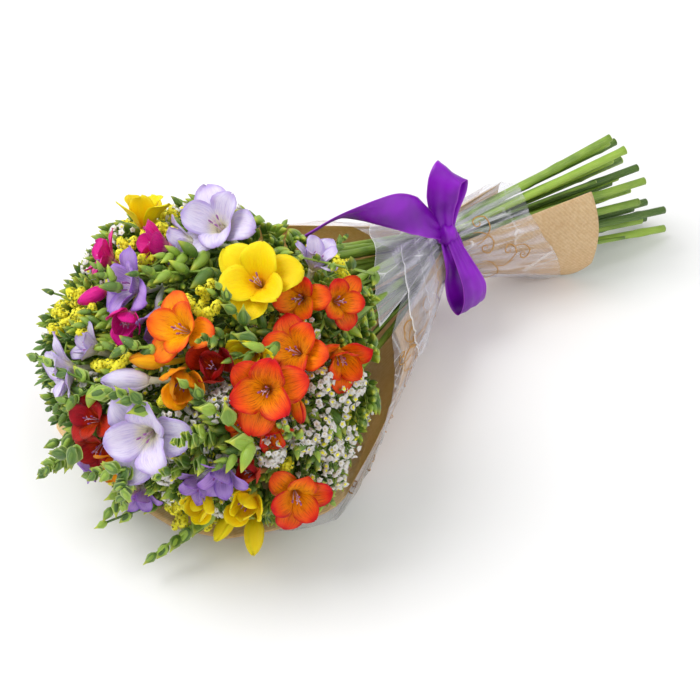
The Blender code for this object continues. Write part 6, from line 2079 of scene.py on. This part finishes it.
# Petals: throat, middle, edge, veins, tube, strength of the veins and reach of the throat
PETAL_FINISHES = {
    PALE_LAVENDER: ((244, 240, 206), (226, 217, 240), (184, 160, 224), (160, 138, 208), (214, 220, 184),
                    0.45, 0.34),
    VIOLET: ((244, 234, 246), (186, 150, 218), (150, 104, 206), (112, 68, 176), (184, 194, 172), 0.55, 0.36),
    MAGENTA: ((252, 160, 180), (232, 24, 152), (206, 6, 132), (150, 0, 96), (216, 120, 130), 0.5, 0.25),
    ORANGE: ((255, 190, 0), (252, 112, 0), (226, 36, 0), (186, 30, 0), (220, 184, 40), 0.55, 0.7),
    ORANGE_RED: ((255, 168, 0), (246, 72, 0), (206, 10, 0), (150, 6, 0), (224, 146, 36), 0.65, 0.72),
    DARK_RED: ((228, 80, 10), (186, 14, 2), (142, 2, 4), (88, 0, 0), (160, 110, 50), 0.55, 0.4),
    AMBER: ((255, 196, 0), (255, 172, 0), (240, 132, 0), (210, 96, 0), (210, 186, 30), 0.45, 0.4),
    YELLOW: ((255, 196, 0), (255, 224, 0), (255, 236, 20), (248, 186, 0), (214, 212, 40), 0.35, 0.34),
}

# Green parts: dark, light, tip, pale edge, start of the tip and strength of the streaks
PLANT_FINISHES = {
    "stem_green": ((78, 116, 26), (140, 174, 58), (128, 176, 58), (196, 212, 126), 1000.0, 0.2),
    "bud_green": ((76, 116, 34), (134, 168, 54), (184, 192, 56), (186, 206, 116), 0.62, 0.2),
    "leaf_green": ((52, 92, 34), (96, 138, 52), (150, 170, 70), (168, 188, 120), 0.8, 0.3),
}


def plant_finishes():
    """Petals, stems, buds and leaves, which let some light through."""
    group = petal_shade()
    for name, row in PETAL_FINISHES.items():
        shaded(name, group, row, 0.7, 0.0012, Subsurface_Weight=0.15, Subsurface_Radius=(1.0, 0.6, 0.5),
               Subsurface_Scale=0.0015, Sheen_Weight=0.03, Sheen_Roughness=0.4, Specular_IOR_Level=0.25)
    group = plant_shade()
    for name, row in PLANT_FINISHES.items():
        relief = (0.4, 0.0006) if name == "leaf_green" else (0.3, 0.0005)
        shaded(name, group, row, *relief, Subsurface_Weight=0.15, Subsurface_Radius=(0.6, 1.0, 0.3),
               Subsurface_Scale=0.0012)


def stamen_finish():
    made = Finish("stamens", Roughness=0.6)
    grain = cloud(own_place(made.tree), 2500.0)
    thread = mixed(grain, tint(236, 220, 226), tint(214, 180, 206))
    anther = mixed(grain, tint(176, 110, 172), tint(140, 78, 150))
    made.show(mixed(read(made.tree, "mask"), thread, anther), grain, 0.4, 0.0002)


def statice_finish():
    made = Finish("statice_papery", Roughness=0.75, Subsurface_Weight=0.2, Subsurface_Radius=(1.0, 1.0, 0.9),
                  Subsurface_Scale=0.001)
    along, mask, tone = (read(made.tree, name) for name in ("along", "mask", "tone"))
    grain = cloud(own_place(made.tree), 900.0, 3.0)
    petal = mixed(spread(grain, 0.3, 0.7), tint(252, 250, 246), tint(240, 234, 228))
    calyx = mixed(tone, tint(150, 160, 92), tint(196, 176, 140))
    colour = mixed(spread(along, 0.3, 0.8), calyx, petal)
    made.show(mixed(spread(mask, 0.35, 0.9) * 0.7, colour, tint(196, 176, 120)), grain, 0.4, 0.0003)


def solidago_finish():
    made = Finish("solidago_yellow", Roughness=0.7, Subsurface_Weight=0.2, Subsurface_Radius=(1.0, 0.8, 0.2),
                  Subsurface_Scale=0.001)
    along, tone = read(made.tree, "along"), read(made.tree, "tone")
    grain = cloud(own_place(made.tree), 1500.0)
    outer = mixed(tone, tint(255, 246, 40), tint(250, 240, 70))
    colour = mixed(spread(along, 0.1, 0.5), tint(248, 226, 20), outer)
    made.show(mixed(grain * 0.2, colour, tint(214, 216, 40)), grain, 0.5, 0.0003)


def film_finish():
    """Clear film: seen by its long folds, its shine, and its thin creases painted white as highlights."""
    made = Finish("clear_film", Roughness=0.08, Specular_IOR_Level=1.0, Coat_Weight=1.0, Coat_Roughness=0.03)
    tree = made.tree
    along, around, haze_and_glint = (read(tree, name) for name in ("along", "across", "mask"))
    where = own_place(tree)
    lengthwise = round_place(along, around, 3.2, 0.012)
    facets, small = (
        Value(tree, "TexVoronoi", "Distance", {"Vector": spot, "Scale": scale}, feature="DISTANCE_TO_EDGE")
        for spot, scale in ((lengthwise, 1.6), (where, 26.0))
    )
    chance = spread(cloud(where, 30.0, 1.0), 0.46, 0.6)
    # Thin crease lines, along the long folds and in a fine web, which are painted white as highlights
    crease = spread(facets, 0.022, 0.0) * spread(chance, 0.0, 1.0, 0.2)
    crease = crease.maths("MAXIMUM", spread(small, 0.03, 0.0) * chance * 0.6)
    patch = spread(cloud(lengthwise, 2.4, 1.0), 0.42, 0.62)
    near_tie = spread(along.maths("ABSOLUTE"), 100.0, 20.0)
    # The veil is the film's own whitish haze; its patches and the boost near the tie also paint soft
    # highlights
    veil = patch * 0.09 + 0.05 + patch * near_tie * 0.14 + spread(haze_and_glint, 0.0, 0.5, 0.0, 0.07)
    # Where the haze mask reaches 0.7 and more, on the edges of flap and fold, a painted glint
    crease = crease.maths("MAXIMUM", spread(haze_and_glint, 0.7, 1.0))
    # Grazing angles get more of the white veil: a painted reflection worked out from the view
    rim = Value(tree, "LayerWeight", "Facing", {"Blend": 0.3})
    veil = veil + crease * 0.3 + rim.maths("POWER", 2.5) * 0.35
    join(Value(tree, "Clamp", "Result", {"Value": veil}), made.shader["Alpha"])
    # Creases and glinting edges are painted white: painted highlights
    colour = mixed(crease, tint(222, 220, 234), tint(255, 255, 255))
    made.show(colour, facets * 1.2 + small * 0.5, 0.45, 0.004)


def kraft_finish():
    """Ribbed kraft paper, with fibres, slow darker patches that paint the shade of soft creases, and darker
    stripes that paint the shade of its ribs. Its ribs are straight where it is laid flat.
    """
    made = Finish("ribbed_kraft", Roughness=0.72, Subsurface_Weight=0.4, Subsurface_Radius=(1.0, 0.7, 0.45),
                  Subsurface_Scale=0.003)
    ribs = (read(made.tree, "mask") * (math.tau / RIB_PITCH)).maths("SINE")
    fibres = cloud(own_place(made.tree), 420.0, 4.0, 0.7)
    slow = cloud(own_place(made.tree), 16.0, 3.0)
    outside = mixed(spread(fibres, 0.3, 0.7), tint(206, 164, 122), tint(222, 186, 146))
    # The inner face gets lighter, warmer tints to lift it out of the shade it lies in: painted light
    inside = mixed(spread(fibres, 0.3, 0.7), tint(232, 182, 130), tint(244, 200, 150))
    colour = mixed(read(made.tree, "tone"), outside, inside)
    # Slow darker patches: painted shade of soft creases
    colour = mixed(spread(slow, 0.35, 0.75) * 0.25, colour, tint(170, 126, 80))
    # Darker stripes along the ribs: painted shade of their relief, over the ribs' bump
    colour = mixed(spread(ribs, -1.0, 1.0) * 0.14, colour, tint(150, 104, 62))
    made.show(colour, ribs * 0.6 + fibres * 0.4, 0.25, 0.0003)


def satin_finish():
    made = Finish("purple_satin", Roughness=0.36, Sheen_Weight=0.04, Sheen_Roughness=0.25,
                  Sheen_Tint=tint(244, 150, 255), Specular_IOR_Level=0.4)
    along, across = read(made.tree, "along"), read(made.tree, "across")
    colour = mixed(spread(cloud(own_place(made.tree), 40.0), 0.3, 0.7), tint(108, 0, 152), tint(146, 6, 200))
    selvedge = spread(across.maths("ABSOLUTE"), 0.9, 0.98)
    weave = (along * 9.0).maths("SINE") + (across * 160.0).maths("SINE") * 0.5
    made.show(mixed(selvedge * 0.5, colour, tint(186, 70, 222)), weave, 0.12, 0.0002)


# The studio: floor, light and camera

LAMPS = (("key", (-0.9, 0.6, 1.8), 26.0, 1.2), ("fill", (0.4, -1.6, 1.5), 8.0, 1.6))
LIT_PLACE = Vector((0.05, -0.02, 0.05))
FLOOR_REACH = 6.0


def hang(name, data, spot, sight):
    """A lamp or a camera at a place, looking along a direction."""
    held = bpy.data.objects.new(name, data)
    held.location = spot
    held.rotation_euler = Vector(sight).to_track_quat("-Z", "Y").to_euler()
    scene.collection.objects.link(held)
    return held


def studio():
    mesh = bpy.data.meshes.new("floor")
    corners = [(x * FLOOR_REACH, y * FLOOR_REACH, 0) for x, y in ((-1, -1), (1, -1), (1, 1), (-1, 1))]
    mesh.from_pydata(corners, [], [(0, 1, 2, 3)])
    made = Finish("pale_floor", Roughness=0.6)
    pale = mixed(cloud(own_place(made.tree), 8.0), (0.90, 0.90, 0.90, 1.0), (0.92, 0.92, 0.92, 1.0))
    join(pale, made.shader["Base Color"])
    mesh.materials.append(made.material)
    floor = bpy.data.objects.new("floor", mesh)
    floor.location.z = -0.0005
    scene.collection.objects.link(floor)
    scene.world = bpy.data.worlds.new("studio")
    scene.world.use_nodes = True
    sky = scene.world.node_tree.nodes["Background"].inputs
    sky["Color"].default_value = WHITE
    sky["Strength"].default_value = 0.75
    for name, spot, power, size in LAMPS:
        lamp = bpy.data.lights.new(name, "AREA")
        lamp.energy = power
        lamp.size = size
        hang(name, lamp, spot, LIT_PLACE - Vector(spot))
    scene.view_settings.view_transform = "Standard"
    lens = bpy.data.cameras.new("camera")
    lens.lens = 90.0
    lens.sensor_width = 36.0
    scene.camera = hang("camera", lens, EYE * METRES, -SEEN_BACK)


# The whole bouquet

def eased_strands():
    """Every stem, twig and sprig, set out and eased apart as in the CAD."""
    forks = [fork_of(stem) for stem in STEMS] + [spray_fork(spray) for spray in SPRAYS]
    directions = []
    for fork in forks:
        offset = fork - NECK
        ahead = offset @ BUNDLE_AXIS
        directions.append((offset @ ACROSS_BUNDLE / ahead, offset @ UP_BUNDLE / ahead))
    slots = matched_slots(np.array(directions))
    for number, plant in enumerate(STEMS):
        slots[number] += PRESSED.get(plant.name, 0.0)
    strands, mains, twigs, sprigs = [], {}, {}, {}
    for number, plant in enumerate(STEMS + SPRAYS):
        filler = number >= len(STEMS)
        radius = FILLER_RADIUS if filler else STEM_RADIUS
        mains[number] = long_stem(number, slots[number], forks[number], radius, number)
        strands.append(mains[number])
        twigs[number] = []
        if filler:
            for spot in plant.clusters:
                middle = 0.5 * (forks[number] + spot) - 4.0 * dome_normal(spot)
                twigs[number].append(Strand(number, [forks[number], middle, spot], TWIG_RADIUS, (0,)))
            strands += twigs[number]
            continue
        twigs[number] = [twig(number, forks[number], *body_base(body)) for body in plant.bodies]
        sprigs[number] = [sprig_strand(number, forks[number], sprig) for sprig in plant.sprigs]
        strands += twigs[number] + sprigs[number]
        for body in plant.bodies:
            for path in flower_paths(body):
                strands.append(Strand(number, path, FLOWER_TUBE_ROOM, range(len(path))))
            for bloom in body.blooms:
                reach = 0.5 * bloom.size * unit(bloom.facing)
                strands.append(Strand(number, [bloom.centre, bloom.centre + reach], FLOWER_ROOM, (0, 1)))
    ease_apart(strands)
    return mains, twigs, sprigs


plant_finishes()
stamen_finish()
statice_finish()
solidago_finish()
film_finish()
grainy("gold_print", 400.0, 3.0, 0.5, (206, 156, 84), (180, 128, 60), 0.2, 0.0001, Roughness=0.4,
       Metallic=0.35)
kraft_finish()
satin_finish()
grainy("jute", 1200.0, 4.0, 0.7, (206, 184, 140), (150, 122, 80), 0.8, 0.0005, Roughness=0.9)
mains, twigs, sprigs = eased_strands()
head = Head()
for number, plant in enumerate(STEMS):
    rng = np.random.default_rng(100 + number)
    dress_stem(plant, mains[number], twigs[number], sprigs[number], rng, head)
    for body in plant.bodies:
        dress_blooms(body, rng, head)
for number, spray in enumerate(SPRAYS, start=len(STEMS)):
    dress_spray(spray, mains[number].control, twigs[number], np.random.default_rng(200 + number), head)
lay_sprigs(head)
fill_head(head)
dress_wrap()
dress_binding()
ribbon, ribbon_length = dress_ribbon()
studio()
